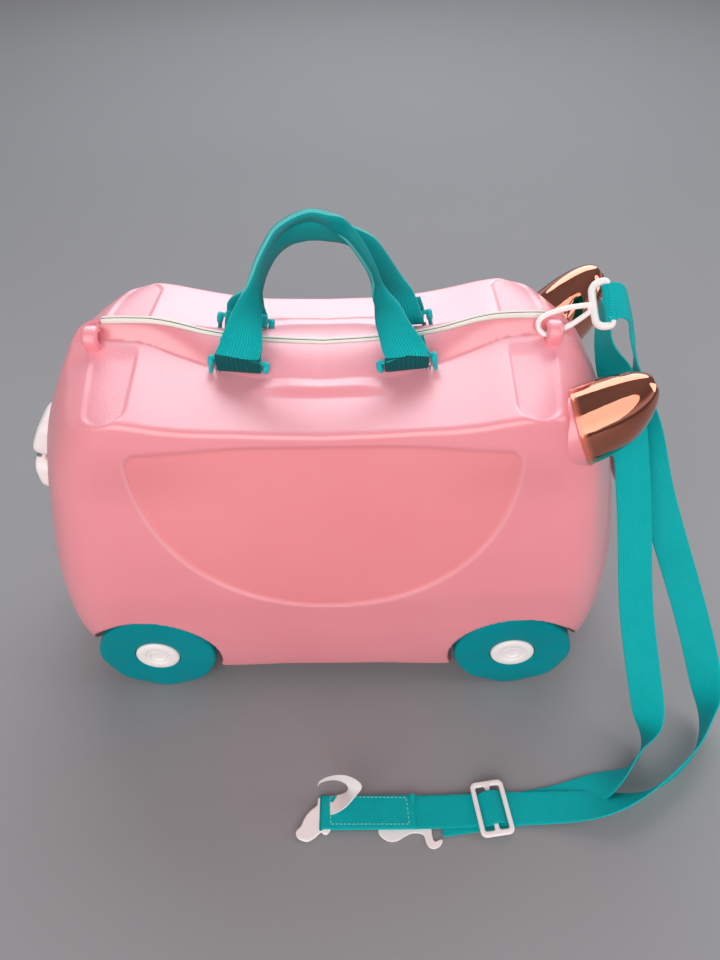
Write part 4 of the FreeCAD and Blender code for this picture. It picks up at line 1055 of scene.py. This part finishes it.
# --------------------------------------------------------------------- handles
# Two edges of each webbing handle, as (x, height above the bars, depth) in the
# plane through its bars; it is folded in half at the grip.
LEAN = {-1: 11.0, 1: 16.5}
NEAR = [((-66.0, 13.0, 4.9), (-38.2, 9.0, 4.4)), ((-68.6, 3.2, 5.6), (-40.2, 0.2, 4.8)),
        ((-68.8, -1.2, 5.3), (-40.3, -4.0, 4.4)), ((-68.9, -3.8, 3.0), (-40.4, -6.4, 3.0)), ((-69.0, -4.8, -1.0), (-40.5, -7.6, -1.0)),
        ((-69.0, -4.2, -2.6), (-40.5, -7.2, -2.6)), ((-68.9, 0.5, -4.6), (-40.4, -3.0, -4.6)),
        ((-68.7, 6.0, -5.9), (-40.2, 2.2, -5.9)), ((-68.5, 7.2, -5.9), (-40.1, 3.4, -5.9)),
        ((-67.9, 8.4, -5.7), (-39.8, 4.8, -5.7)), ((-64.7, 14.5, -5.0), (-38.0, 10.5, -5.0)),
        ((-61.9, 21.0, -4.0), (-36.9, 16.3, -4.0)), ((-53.9, 35.9, -1.5), (-35.9, 32.2, -1.5)),
        ((-48.6, 45.0, -2.0), (-36.1, 41.0, 1.0)), ((-44.1, 52.0, -3.5), (-36.4, 47.4, 3.0)),
        ((-39.6, 61.2, -5.0), (-35.5, 54.9, 5.0)), ((-35.4, 69.6, -6.0), (-32.1, 66.3, 6.0)),
        ((-29.8, 79.1, -6.5), (-26.6, 76.0, 6.0)), ((-23.6, 87.7, -7.0), (-20.6, 82.2, 5.5)),
        ((-13.8, 94.1, -7.5), (-12.5, 87.4, 5.0)), ((-2.7, 97.6, -7.5), (-3.7, 89.4, 3.5)),
        ((6.3, 95.9, -6.0), (4.7, 87.2, 2.0)), ((16.5, 91.0, -0.5), (10.4, 83.5, -2.5)),
        ((24.0, 80.2, 4.0), (17.6, 79.7, -6.0)), ((29.9, 69.2, 6.0), (24.5, 71.4, -7.0)),
        ((34.7, 58.3, 5.0), (30.3, 61.8, -6.0)), ((38.3, 49.5, 3.0), (32.4, 53.5, -4.0)),
        ((43.8, 42.9, 0.0), (31.4, 45.5, -3.0)), ((50.0, 35.7, -2.0), (32.0, 37.7, -3.0)),
        ((56.4, 24.7, -4.0), (33.4, 26.2, -4.0)), ((64.0, 14.5, -5.0), (37.0, 11.5, -5.0)),
        ((67.9, 8.4, -5.7), (39.8, 4.8, -5.7)), ((68.5, 7.2, -5.9), (40.1, 3.4, -5.9)),
        ((68.7, 6.0, -5.9), (40.2, 2.2, -5.9)), ((68.9, 0.5, -4.6), (40.4, -3.0, -4.6)),
        ((69.0, -4.2, -2.6), (40.5, -7.2, -2.6)), ((69.0, -4.8, -1.0), (40.5, -7.6, -1.0)),
        ((68.9, -3.8, 3.0), (40.4, -6.4, 3.0)), ((68.8, -1.2, 5.3), (40.3, -4.0, 4.4)),
        ((68.6, 3.2, 5.6), (40.2, 0.2, 4.8)), ((66.0, 13.0, 4.9), (38.2, 9.0, 4.4))]
FAR = [((-66.0, 13.0, -4.9), (-38.2, 8.0, -4.4)), ((-68.6, 2.8, -5.6), (-40.2, -2.4, -4.8)),
       ((-68.7, -1.2, -5.3), (-40.2, -5.0, -4.4)), ((-68.9, -4.0, -2.4), (-40.4, -7.4, -1.6)),
       ((-68.9, -4.2, 0.8), (-40.4, -7.4, 1.4)), ((-68.8, -1.6, 3.8), (-40.3, -5.6, 4.0)),
       ((-68.0, 4.0, 5.4), (-41.2, -2.0, 5.6)), ((-66.4, 9.5, 5.6), (-41.2, 4.0, 5.8)),
       ((-60.0, 20.0, 3.0), (-40.0, 14.0, 3.0)), ((-48.0, 32.0, -1.0), (-39.5, 27.0, 1.0)),
       ((-41.3, 42.7, -4.0), (-38.5, 34.0, 3.0)), ((-37.6, 53.4, -4.0), (-34.5, 43.4, 4.0)),
       ((-33.1, 64.8, -4.0), (-28.7, 54.3, 4.0)), ((-26.6, 75.4, -3.0), (-23.0, 61.7, 3.0)),
       ((-17.6, 84.0, 0.0), (-16.2, 68.9, 0.0)), ((-9.6, 88.0, 0.0), (-9.1, 72.1, 0.0)),
       ((-1.8, 89.2, 0.0), (-2.0, 73.0, 0.0)), ((8.7, 88.0, 0.0), (6.8, 71.9, 0.0)),
       ((20.5, 84.0, 0.0), (15.2, 69.9, 0.0)), ((33.9, 72.9, 2.0), (25.6, 64.8, -2.0)),
       ((42.0, 57.8, 3.0), (32.0, 55.3, -4.0)), ((47.2, 46.9, 3.0), (36.6, 46.3, -5.0)),
       ((53.0, 36.0, 2.0), (38.8, 36.5, -5.0)), ((60.6, 23.8, 0.0), (38.9, 21.2, -4.0)),
       ((66.4, 9.5, -5.3), (38.6, 4.0, -5.6)), ((68.0, 3.4, -5.7), (39.8, -2.0, -5.4)),
       ((68.6, -1.2, -5.3), (40.2, -5.0, -4.4)), ((68.9, -4.0, -2.4), (40.4, -7.4, -1.6)),
       ((68.9, -4.2, 0.8), (40.4, -7.4, 1.4)), ((68.8, -1.4, 3.8), (40.3, -5.6, 4.0)),
       ((68.6, 3.4, 4.6), (40.2, -1.8, 5.5)), ((66.0, 13.0, 4.6), (38.2, 8.0, 5.0))]


def handle(name, side, edges, strips=()):
    a = math.radians(LEAN[side])
    up = np.array([0.0, -side * math.sin(a), math.cos(a)])
    out = np.array([0.0, math.cos(a), side * math.sin(a)])
    org = np.array([0.0, side * 24.2, 289.0])

    def world(q):
        return org + np.array([q[0], 0, 0]) + up * q[1] + out * q[2]
    count = 16 * len(edges)
    e1 = smooth_curve([world(q) for q, r in edges], count)
    e2 = smooth_curve([world(r) for q, r in edges], count)
    mid = (e1 + e2) / 2
    run = np.concatenate([[0], np.cumsum(np.linalg.norm(np.diff(mid, axis=0), axis=1))])
    rings, uvs, shade = [], [], []
    n = 40
    for i in range(count):
        t = unit(mid[min(i + 1, count - 1)] - mid[max(i - 1, 0)])
        w = e1[i] - e2[i]
        w = w - t * (w @ t)
        width = np.linalg.norm(w)
        w = w / width
        nn = np.cross(t, w)
        fold = float(np.clip((26.0 - width) / 11.0, 0, 1))
        fold = fold * fold * (3 - 2 * fold)
        thick = 1.7 + 3.1 * fold
        ring = []
        for k in range(n):
            p = 2 * math.pi * k / n
            c, s = math.cos(p), math.sin(p)
            ex = 0.35 + 0.25 * fold
            xx = math.copysign(abs(c) ** ex, c) * width / 2
            yy = math.copysign(abs(s) ** (0.5 + 0.3 * fold), s) * thick / 2
            # the two open edges of the fold show as a groove along the inside
            if c < -0.55:
                xx += fold * 2.6 * math.exp(-(s / 0.22) ** 2)
            ring.append(mid[i] + w * xx + nn * yy)
            # shade: how much painted shade each point gets, most on the inner side of the fold
            shade.append(fold * min(1.0, max(0.0, 0.6 - 0.5 * c)))
        rings.append(ring)
        uvs.append(run[i])
    ob = fix_normals(loft(name, rings, BAND, True, 60))
    at = ob.data.attributes.new("shade", "FLOAT", "POINT")
    values = np.zeros(len(ob.data.vertices), np.float32)
    values[:len(shade)] = shade
    at.data.foreach_set("value", values)
    # second slot: the painted-shade webbing, on the strips where the handle bends under the bar
    ob.data.materials.append(WEBBING_UNDERSIDE_SHADE)
    layer = ob.data.uv_layers.new(name="run")
    for p in ob.data.polygons:
        for li in p.loop_indices:
            vi = ob.data.loops[li].vertex_index
            k = vi % n
            c = math.cos(2 * math.pi * k / n)
            layer.data[li].uv = (math.copysign(abs(c) ** 0.5, c) * 15.0 * MM, uvs[min(vi // n, count - 1)] * MM)
        at = (p.vertices[0] // n) / (count - 1) * (len(edges) - 1)
        if any(lo <= at < hi for lo, hi in strips):
            p.material_index = 1
    return ob


top = len(NEAR) - 1
for side, far, edges, strips in ((-1, "near", NEAR, ((4.6, 7.9), (top - 7.9, top - 4.6))), (1, "far", FAR, ())):
    ob = handle("webbing_handle_" + far, side, edges, strips)
    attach(ob, "handle_" + far)
    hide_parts("handle_" + far)


# --------------------------------------------------------------------- anchors
def anchor(name, side, fx):
    tilt = math.radians(fx * 10.8)
    c = np.array([fx * 54.4, side * 24.2, 289.0])
    rx = np.array([math.cos(tilt), 0, math.sin(tilt)])
    rz = np.array([-math.sin(tilt), 0, math.cos(tilt)])

    def place(v):
        v = np.asarray(v, float)
        return c + v[:, :1] * rx + v[:, 1:2] * np.array([0, 1.0, 0]) + v[:, 2:3] * rz
    def stadium(k):
        r = 4.6 - k
        return [(math.copysign(16.9, math.cos(q)) + r * math.cos(q), r * math.sin(q)) for q in np.linspace(0.001, 2 * math.pi + 0.001, 40, endpoint=False)]
    rings = [place(np.array([(x, y, h) for x, y in stadium(k)])) for k, h in ((0.0, -17.0), (0.0, -14.2), (0.35, -13.3), (1.2, -12.8))]
    parts = [fix_normals(loft("plate", rings, TEAL, True, 50))]
    for s in (-1, 1):
        rings = []
        for x, k in ((15.6, 0.5), (15.8, 0.7), (16.3, 0.87), (17.0, 0.97), (17.6, 1.0), (18.0, 1.0), (18.6, 0.97), (19.3, 0.87), (19.8, 0.7), (20.0, 0.5)):
            rings.append(place(np.array([(s * x, 4.3 * k * math.cos(q), -2.7 + 4.1 * k * math.sin(q)) for q in np.linspace(0, 2 * math.pi, 32, endpoint=False)])))
        parts.append(fix_normals(loft("knob", rings, TEAL, True, 40)))
        stem = [place(np.array([(s * (17.7 + 1.5 * math.cos(q)), 2.6 * math.sin(q), z) for q in np.linspace(0, 2 * math.pi, 24, endpoint=False)])) for z in (-14.0, -10.0, -5.0)]
        parts.append(fix_normals(loft("stem", stem, TEAL, True, 40)))
    parts.append(cylinder_mesh("bar", place(np.array([(-17.5, 0, 0)]))[0], rx, 1.6, 35.0, TEAL, 28))
    return join(name, parts)


for side, far in ((-1, "near"), (1, "far")):
    for fx, end in ((-1, "rear"), (1, "front")):
        ob = anchor("bracket_%s_%s" % (end, far), side, fx)
        ob.data.set_sharp_from_angle(angle=math.radians(40))
        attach(ob, "near_half" if side < 0 else "far_half")
        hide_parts("anchor_%s_%s" % (end, far))

# --------------------------------------------------------------------- catches
TILT = math.atan2(17.9, 70.0)


def catch_place(end):
    ct, st = math.cos(TILT), math.sin(TILT)
    base = np.array([end * float(half_length(192.0)), 0, 192.0])

    def place(v):
        v = np.asarray(v, float)
        n, y, u = v[:, 0], v[:, 1], v[:, 2]
        x = n * ct - u * st
        return base + np.stack([end * x, y, n * st + u * ct], 1)
    return place


def rounded_plate(name, end, outline, n0, mat):
    """A moulded cover: an outline (y, up) raised from n0 to a long dome, with soft edges."""
    place = catch_place(end)
    pts = np.asarray(outline, float)
    mid = pts.mean(0)
    rings = []
    for k, share in ((1.0, 0.0), (1.0, 0.5), (0.985, 0.66), (0.955, 0.8), (0.9, 0.91), (0.8, 0.975), (0.6, 1.0), (0.3, 1.02), (0.02, 1.025)):
        q = mid + (pts - mid) * k
        dome = 13.4 * (1 - (np.abs(q[:, 1]) / 44.0) ** 2.2)
        rings.append(place(np.column_stack([n0 + share * (dome - n0), q[:, 0], q[:, 1]])))
    return fix_normals(loft(name, rings, mat, True, 50))


def rounded_rect(y0, y1, u0, u1, r, n=8):
    out = []
    for cy, cu, a0 in ((y1 - r, u1 - r, 0), (y0 + r, u1 - r, 90), (y0 + r, u0 + r, 180), (y1 - r, u0 + r, 270)):
        for q in np.linspace(a0, a0 + 90, n):
            out.append((cy + r * math.cos(math.radians(q)), cu + r * math.sin(math.radians(q))))
    return out


for end, tag in ((-1, "rear"), (1, "front")):
    body = rounded_plate("catch_cover_" + tag, end, rounded_rect(-16.4, 16.4, 0.2, 35.8, 10.0), -1.0, WHITE)
    place = catch_place(end)
    boolean(body, box_mesh("slot", (-10, -0.25, -20), (2.2, 40, 60), None, 0, 3, place), "DIFFERENCE")
    boolean(body, box_mesh("slot", (-10, 1.0, 11.0), (8.0, 40, 25.0), None, 0, 3, place), "DIFFERENCE")
    for y0, y1 in ((-11, -4), (4, 11)):
        boolean(body, box_mesh("slot", (2.6, y0, -6), (20, y1, 7.2), None, 0, 3, place), "DIFFERENCE")
    boolean(body, box_mesh("slot", (3.6, -3.4, -6), (20, 3.4, 7.2), None, 0, 3, place), "DIFFERENCE")
    body.data.shade_smooth()
    body.data.set_sharp_from_angle(angle=math.radians(40))
    body.data.materials.clear()
    body.data.materials.append(WHITE)
    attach(body, "near_half")
    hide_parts("catch_housing_" + tag)
    lever = rounded_plate("catch_flap_" + tag, end, rounded_rect(-15.8, 15.8, -35.8, -5.2, 10.0), 2.4, WHITE)
    parts = [lever]
    for y0, y1 in ((-10.6, -4.4), (4.4, 10.6)):
        a = place(np.array([(8.0, y0, 3.0), (8.0, y1, 3.0)]))
        parts.append(cylinder_mesh("knuckle", a[0], a[1] - a[0], 3.4, 6.2, WHITE, 32, 0.5))
        parts.append(box_mesh("arm", (4.8, y0, -8.0), (11.2, y1, 3.0), WHITE, 0.6, 2, place))
    lever = join("catch_flap_" + tag + ".a", parts)
    lever.name = "catch_flap_" + tag
    lever.data.set_sharp_from_angle(angle=math.radians(40))
    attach(lever, "catch_lever_" + tag)
    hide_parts("catch_lever_" + tag)

# ------------------------------------------------------------ clips and slider
bar_dir = unit((0.05, -0.85, -0.52))
bar_mid = np.array([184.5, -4.5, 316.0])
to_back = np.array([-0.83, 0.0, -0.35])
to_back = unit(to_back - bar_dir * (to_back @ bar_dir))
frame_up = np.cross(bar_dir, to_back)
frame_up = frame_up if frame_up[2] > 0 else -frame_up
hook_mid = np.array([150.0, -9.35, 305.3])
hook_x = unit(bar_mid + to_back * 9.5 - hook_mid)
hook_y = np.array([0.0, 0.694, 0.72])
hook_y = unit(hook_y - hook_x * (hook_y @ hook_x))


def half_round(cx, r, a0, a1, n=13):
    return [(cx + r * math.cos(math.radians(q)), r * math.sin(math.radians(q))) for q in np.linspace(a0, a1, n)]


def eased(loop, times=3):
    """An outline with its corners cut round."""
    q = np.asarray(loop, float)
    for _ in range(times):
        nxt = np.roll(q, -1, 0)
        q = np.stack([q * 0.78 + nxt * 0.22, q * 0.22 + nxt * 0.78], 1).reshape(-1, 2)
    return [tuple(v) for v in q]


def plate_from(name, outline, holes, z0, z1, bevel, mat):
    """A flat moulded plate from an outline and its openings, with rounded edges."""
    cu = bpy.data.curves.new(name, "CURVE")
    cu.dimensions = "2D"
    cu.fill_mode = "BOTH"
    for loop in [outline] + holes:
        sp = cu.splines.new("POLY")
        sp.points.add(len(loop) - 1)
        for q, p in zip(sp.points, loop):
            q.co = (p[0] * MM, p[1] * MM, 0.0, 1.0)
        sp.use_cyclic_u = True
    cu.extrude = ((z1 - z0) / 2 - bevel) * MM
    cu.bevel_depth = bevel * MM
    cu.bevel_resolution = 3
    cu.offset = -bevel * MM
    ob = bpy.data.objects.new(name, cu)
    scene.collection.objects.link(ob)
    bpy.context.view_layer.update()
    me = bpy.data.meshes.new_from_object(ob)
    bpy.data.objects.remove(ob)
    bpy.data.curves.remove(cu)
    me.transform(Matrix.Translation((0, 0, (z0 + z1) / 2 * MM)))
    me.materials.clear()
    me.materials.append(mat)
    me.shade_smooth()
    me.set_sharp_from_angle(angle=math.radians(50))
    out = bpy.data.objects.new(name, me)
    scene.collection.objects.link(out)
    return out


def set_at(ob, origin, ex, ey):
    """Put a plate made about the origin into the plane of ex and ey."""
    m = Matrix.Identity(4)
    for i in range(3):
        m[i][0], m[i][1], m[i][2], m[i][3] = ex[i], ey[i], np.cross(ex, ey)[i], origin[i] * MM
    ob.data.transform(m)
    return ob


def top_clip():
    rim = [(13.6, 0.0), (15.0, 2.6), (14.2, 6.8), (11.4, 9.3), (6.6, 9.8), (-6.6, 9.8), (-11.6, 9.3), (-14.6, 6.8), (-15.6, 2.6), (-14.2, 0.0),
           (-8.0, -0.1), (8.0, -0.1)]
    loop = [(-10.4, 0.0), (-8.6, 4.4), (-4.2, 6.1), (3.0, 6.1), (10.0, 5.5), (17.5, 3.9), (24.0, 2.0), (27.0, 0.0),
            (24.0, -2.0), (17.5, -3.9), (10.0, -5.5), (3.0, -6.1), (-4.2, -6.1), (-8.6, -4.4)]
    rod = tube("rod", [hook_mid + hook_x * a + hook_y * b for a, b in loop], 1.8, WHITE, 16, None, True)
    neck = tube("neck", [hook_mid + hook_x * 25.0, hook_mid + hook_x * 28.0, bar_mid + to_back * 9.6], [2.2, 2.3, 2.6], WHITE, 16, 14)
    band = tube("rim", [bar_mid + bar_dir * a + to_back * b for a, b in rim], 2.5, WHITE, 18, None, True)
    return join("top_clip", [band, rod, neck])


ob = top_clip()
ob.data.set_sharp_from_angle(angle=math.radians(50))
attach(ob, "near_half")
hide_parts("tow_clip")


def slider():
    cx, cy = 119.0, -204.0
    rim = rounded_rect(cx - 12.75, cx + 12.75, cy - 20.5, cy + 20.5, 4.5)
    a = rounded_rect(cx - 9.2, cx - 1.8, cy - 16.4, cy + 16.4, 1.6, 5)
    b = rounded_rect(cx + 1.8, cx + 9.2, cy - 16.4, cy + 16.4, 1.6, 5)
    return plate_from("slide_buckle", rim, [a, b], 3.75, 6.75, 1.2, WHITE)


def turned(ob, angle=math.radians(8.0)):
    """Turn a piece about the slider's middle, as it lies on the floor."""
    c = Matrix.Translation((0.119, -0.204, 0.0))
    ob.data.transform(c @ Matrix.Rotation(angle, 4, "Z") @ c.inverted())
    return ob


ob = turned(slider())
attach(ob, "near_half")
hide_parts("strap_slider")

END_CLIP = [(-12.6, -194.6), (-9.3, -194.8), (-7.0, -213.4), (-6.4, -215.6), (-5.2, -216.6), (-4.2, -215.6),
            (-2.3, -214.9), (-1.7, -217.2), (-2.8, -220.1), (-5.3, -222.1), (-7.9, -221.2), (-9.0, -219.6),
            (-13.8, -224.4), (-19.2, -227.0), (-23.0, -225.9), (-26.1, -224.7), (-28.0, -221.4), (-27.5, -218.5),
            (-24.4, -216.1), (-21.9, -209.4), (-17.4, -203.7), (-12.2, -200.4)]
LOW_CLIP = [(34.0, -211.0), (32.9, -219.6), (35.4, -223.3), (39.5, -226.0), (43.8, -226.8), (48.0, -225.8),
            (53.2, -222.6), (58.4, -220.4), (63.5, -220.6), (67.3, -221.9), (68.2, -227.2), (70.1, -230.8),
            (73.8, -232.0), (78.1, -230.5), (80.8, -226.6), (80.2, -225.0), (77.7, -225.4), (75.4, -226.8),
            (73.6, -225.6), (72.9, -220.3), (72.5, -204.0), (68.5, -201.0), (66.0, -207.0), (48.0, -206.5)]
end_clip = plate_from("end_hook", eased(END_CLIP, 2), [], 1.3, 4.1, 0.9, WHITE)
low_clip = plate_from("low_hook", eased(LOW_CLIP, 2), [], 0.1, 1.8, 0.6, WHITE)
for ob, node in ((end_clip, "strap_end_clip"), (low_clip, "strap_low_clip")):
    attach(ob, "near_half")
    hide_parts(node)


def piece_of_strap(name, points, wide):
    """A short length of the webbing along a smooth line."""
    line = smooth_curve(points, 12 * len(points))
    ob = tape(name, line, np.tile(np.asarray(wide, float), (len(line), 1)), 25.0, 1.5, STRAP)
    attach(ob, "near_half")
    return ob


def stitches(name, corners, z, pitch=3.0, size=2.1, r=0.3):
    """A row of thread stitches round a closed figure."""
    verts, faces = [], []
    for a, b in zip(corners, corners[1:] + corners[:1]):
        a, b = np.array(a + (z,), float), np.array(b + (z,), float)
        t, count = unit(b - a), max(int(np.linalg.norm(b - a) / pitch), 1)
        w = np.cross([0, 0, 1.0], t)
        for k in range(count):
            c = a + (b - a) * (k + 0.5) / count
            first = len(verts)
            for s, f in ((-0.5, 0.25), (-0.36, 0.85), (0.0, 1.0), (0.36, 0.85), (0.5, 0.25)):
                for q in np.linspace(0, 2 * math.pi, 8, endpoint=False):
                    verts.append(c + t * (s * size) + w * (r * f * math.cos(q)) + np.array([0, 0, r * f * math.sin(q) - 0.25 * abs(s)]))
            faces += [tuple(first + v for v in face) for face in grid_faces(5, 8, False, True)]
            faces += [tuple(first + v for v in range(7, -1, -1)), tuple(first + 32 + v for v in range(8))]
    ob = fix_normals(new_object(name, verts, faces, THREAD))
    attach(ob, "near_half")
    return ob


def sleeve(name):
    """The webbing where it goes round the bar of the top clip."""
    rings, n = [], 40
    across = [-12.5, -12.4, -12.1, -11.4, -6, 0, 6, 11.4, 12.1, 12.4, 12.5]
    swell = [-0.7, -0.3, 0.0, 0.1, 0.0, 0.0, 0.0, 0.1, 0.0, -0.3, -0.7]
    for a, g in zip(across, swell):
        rings.append([bar_mid + bar_dir * a + (frame_up * math.cos(q) * 3.3 + to_back * math.sin(q) * 3.6) * (1 + g / 3.4)
                      for q in np.linspace(0, 2 * math.pi, n, endpoint=False)])
    ob = fix_normals(loft(name, rings, STRAP, True, 60))
    layer = ob.data.uv_layers.new(name="run")
    for p in ob.data.polygons:
        for li in p.loop_indices:
            vi = ob.data.loops[li].vertex_index
            layer.data[li].uv = (across[vi // n] * MM, (vi % n) * 21.0 / n * MM)
    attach(ob, "near_half")
    return ob


around_bar = sleeve("strap_round_bar")
over_slider = piece_of_strap("strap_over_slider", [(105.5, -204.4, 2.9), (109.8, -204.3, 3.3), (112.4, -204.2, 4.6), (115.2, -204.1, 7.0), (117.2, -204.0, 7.75),
                             (119.0, -204, 7.9), (120.8, -203.9, 7.75), (122.8, -203.8, 7.0), (125.6, -203.7, 4.6), (128.2, -203.6, 3.3), (132.5, -203.5, 2.9)], (0.03, -1, 0))
turned(over_slider)
folded_end = piece_of_strap("strap_folded_end", [(-9.6, -206.0, 3.7), (-8.6, -206.0, 4.2), (0, -206, 4.3), (20, -206, 4.3), (40, -205.9, 4.3), (58, -205.8, 4.25), (60.5, -205.7, 4.0)], (0.02, -1, 0))
end_fold = tube("strap_end_fold", [(-9.3, -218.2, 3.45), (-9.3, -206.0, 3.45), (-9.3, -193.8, 3.45)], 1.5, STRAP, 16, 12)
end_fold.data.uv_layers.new(name="run")
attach(end_fold, "near_half")
sewn_box = stitches("strap_end_stitches", [(-2.0, -214.8), (56.4, -215.2), (54.9, -195.6), (-3.0, -194.6)], 5.05)

# ------------------------------------------------------------------ fine pieces
NODE_MAT = {"hinge_pin": STEEL, "axle_clips_near": STEEL, "axle_clips_far": STEEL, "horn_screws_near": STEEL,
            "horn_screws_far": STEEL, "anchor_rivets_near": STEEL, "anchor_rivets_far": STEEL, "catch_rivets": STEEL,
            "keeper_rivets": STEEL, "catch_pin_rear": STEEL, "catch_pin_front": STEEL, "catch_spring_rear": STEEL,
            "catch_spring_front": STEEL, "catch_keeper_rear": WHITE, "catch_keeper_front": WHITE,
            "strap_label": LABEL}
for name, mat in NODE_MAT.items():
    me = nodes[name].data
    if len(me.materials) == 0:
        me.materials.append(mat)
    for i in range(len(me.materials)):
        me.materials[i] = mat

tuple(np.array(UPPER[0][0]) * MM)
tuple(np.array(LOWER[0][0]) * MM)


# -------------------------------------------------------------- floor and light
def floor_and_light():
    me = bpy.data.meshes.new("floor")
    s = 6.0
    me.from_pydata([(-s, -s, -0.0004), (s, -s, -0.0004), (s, s, -0.0004), (-s, s, -0.0004)], [], [(0, 1, 2, 3)])
    n = Nodes("floor")
    cloud = n.noise(1.2, 3.0)
    sep = n.add("ShaderNodeSeparateXYZ")
    n.link(n.coords(), sep.inputs[0])
    base = n.mix(cloud, srgb(140, 139, 141), srgb(150, 149, 151))
    # painted shade: the floor is coloured darker towards the back, standing in for the light falling off there
    base = n.mix(n.ramp(sep.outputs[1], -0.25, 0.95, 0.0, 0.45), base, srgb(84, 84, 87))
    n.set(Base_Color=base, Roughness=0.75, Normal=n.bump(n.noise(420.0, 3.0), 0.05, 0.0005))
    me.materials.append(n.mat)
    ob = bpy.data.objects.new("floor", me)
    scene.collection.objects.link(ob)
    world = bpy.data.worlds.new("studio")
    world.use_nodes = True
    wt = world.node_tree
    back = wt.nodes["Background"]
    sep = wt.nodes.new("ShaderNodeSeparateXYZ")
    wt.links.new(wt.nodes.new("ShaderNodeTexCoord").outputs["Generated"], sep.inputs[0])
    sky = wt.nodes.new("ShaderNodeValToRGB")
    stops = [(0.0, 0.30), (0.50, 0.42), (0.53, 1.15), (0.60, 0.85), (0.68, 0.30), (0.80, 0.30), (0.90, 0.36), (1.0, 0.42)]
    ramp = sky.color_ramp
    while len(ramp.elements) < len(stops):
        ramp.elements.new(0.5)
    for e, (at, v) in zip(ramp.elements, stops):
        e.position, e.color = at, (v * 0.98, v * 0.99, v * 1.03, 1)
    m = wt.nodes.new("ShaderNodeMath")
    m.operation = "MULTIPLY_ADD"
    m.inputs[1].default_value, m.inputs[2].default_value = 0.5, 0.5
    wt.links.new(sep.outputs[2], m.inputs[0])
    wt.links.new(m.outputs[0], sky.inputs[0])
    wt.links.new(sky.outputs[0], back.inputs["Color"])
    back.inputs["Strength"].default_value = 0.72
    scene.world = world

    def area(name, at, aim, size, power, colour=(1, 1, 1)):
        d = bpy.data.lights.new(name, "AREA")
        d.shape = "ELLIPSE"
        d.size, d.size_y = size
        d.energy = power
        d.color = colour
        o = bpy.data.objects.new(name, d)
        o.location = at
        o.rotation_mode = "QUATERNION"
        o.rotation_quaternion = (Vector(aim) - Vector(at)).to_track_quat("-Z", "Y")
        scene.collection.objects.link(o)
    area("back_top", (0.15, 1.5, 1.5), (0.0, 0.0, 0.22), (2.6, 1.8), 43.0, (0.93, 0.965, 1.0))
    area("front_fill", (-0.4, -2.1, 1.35), (0.0, 0.0, 0.15), (3.4, 2.4), 50.0, (1.0, 0.985, 0.97))
    area("right_strip", (1.5, -0.2, 0.9), (0.1, 0.0, 0.2), (0.5, 1.2), 5.0)


floor_and_light()
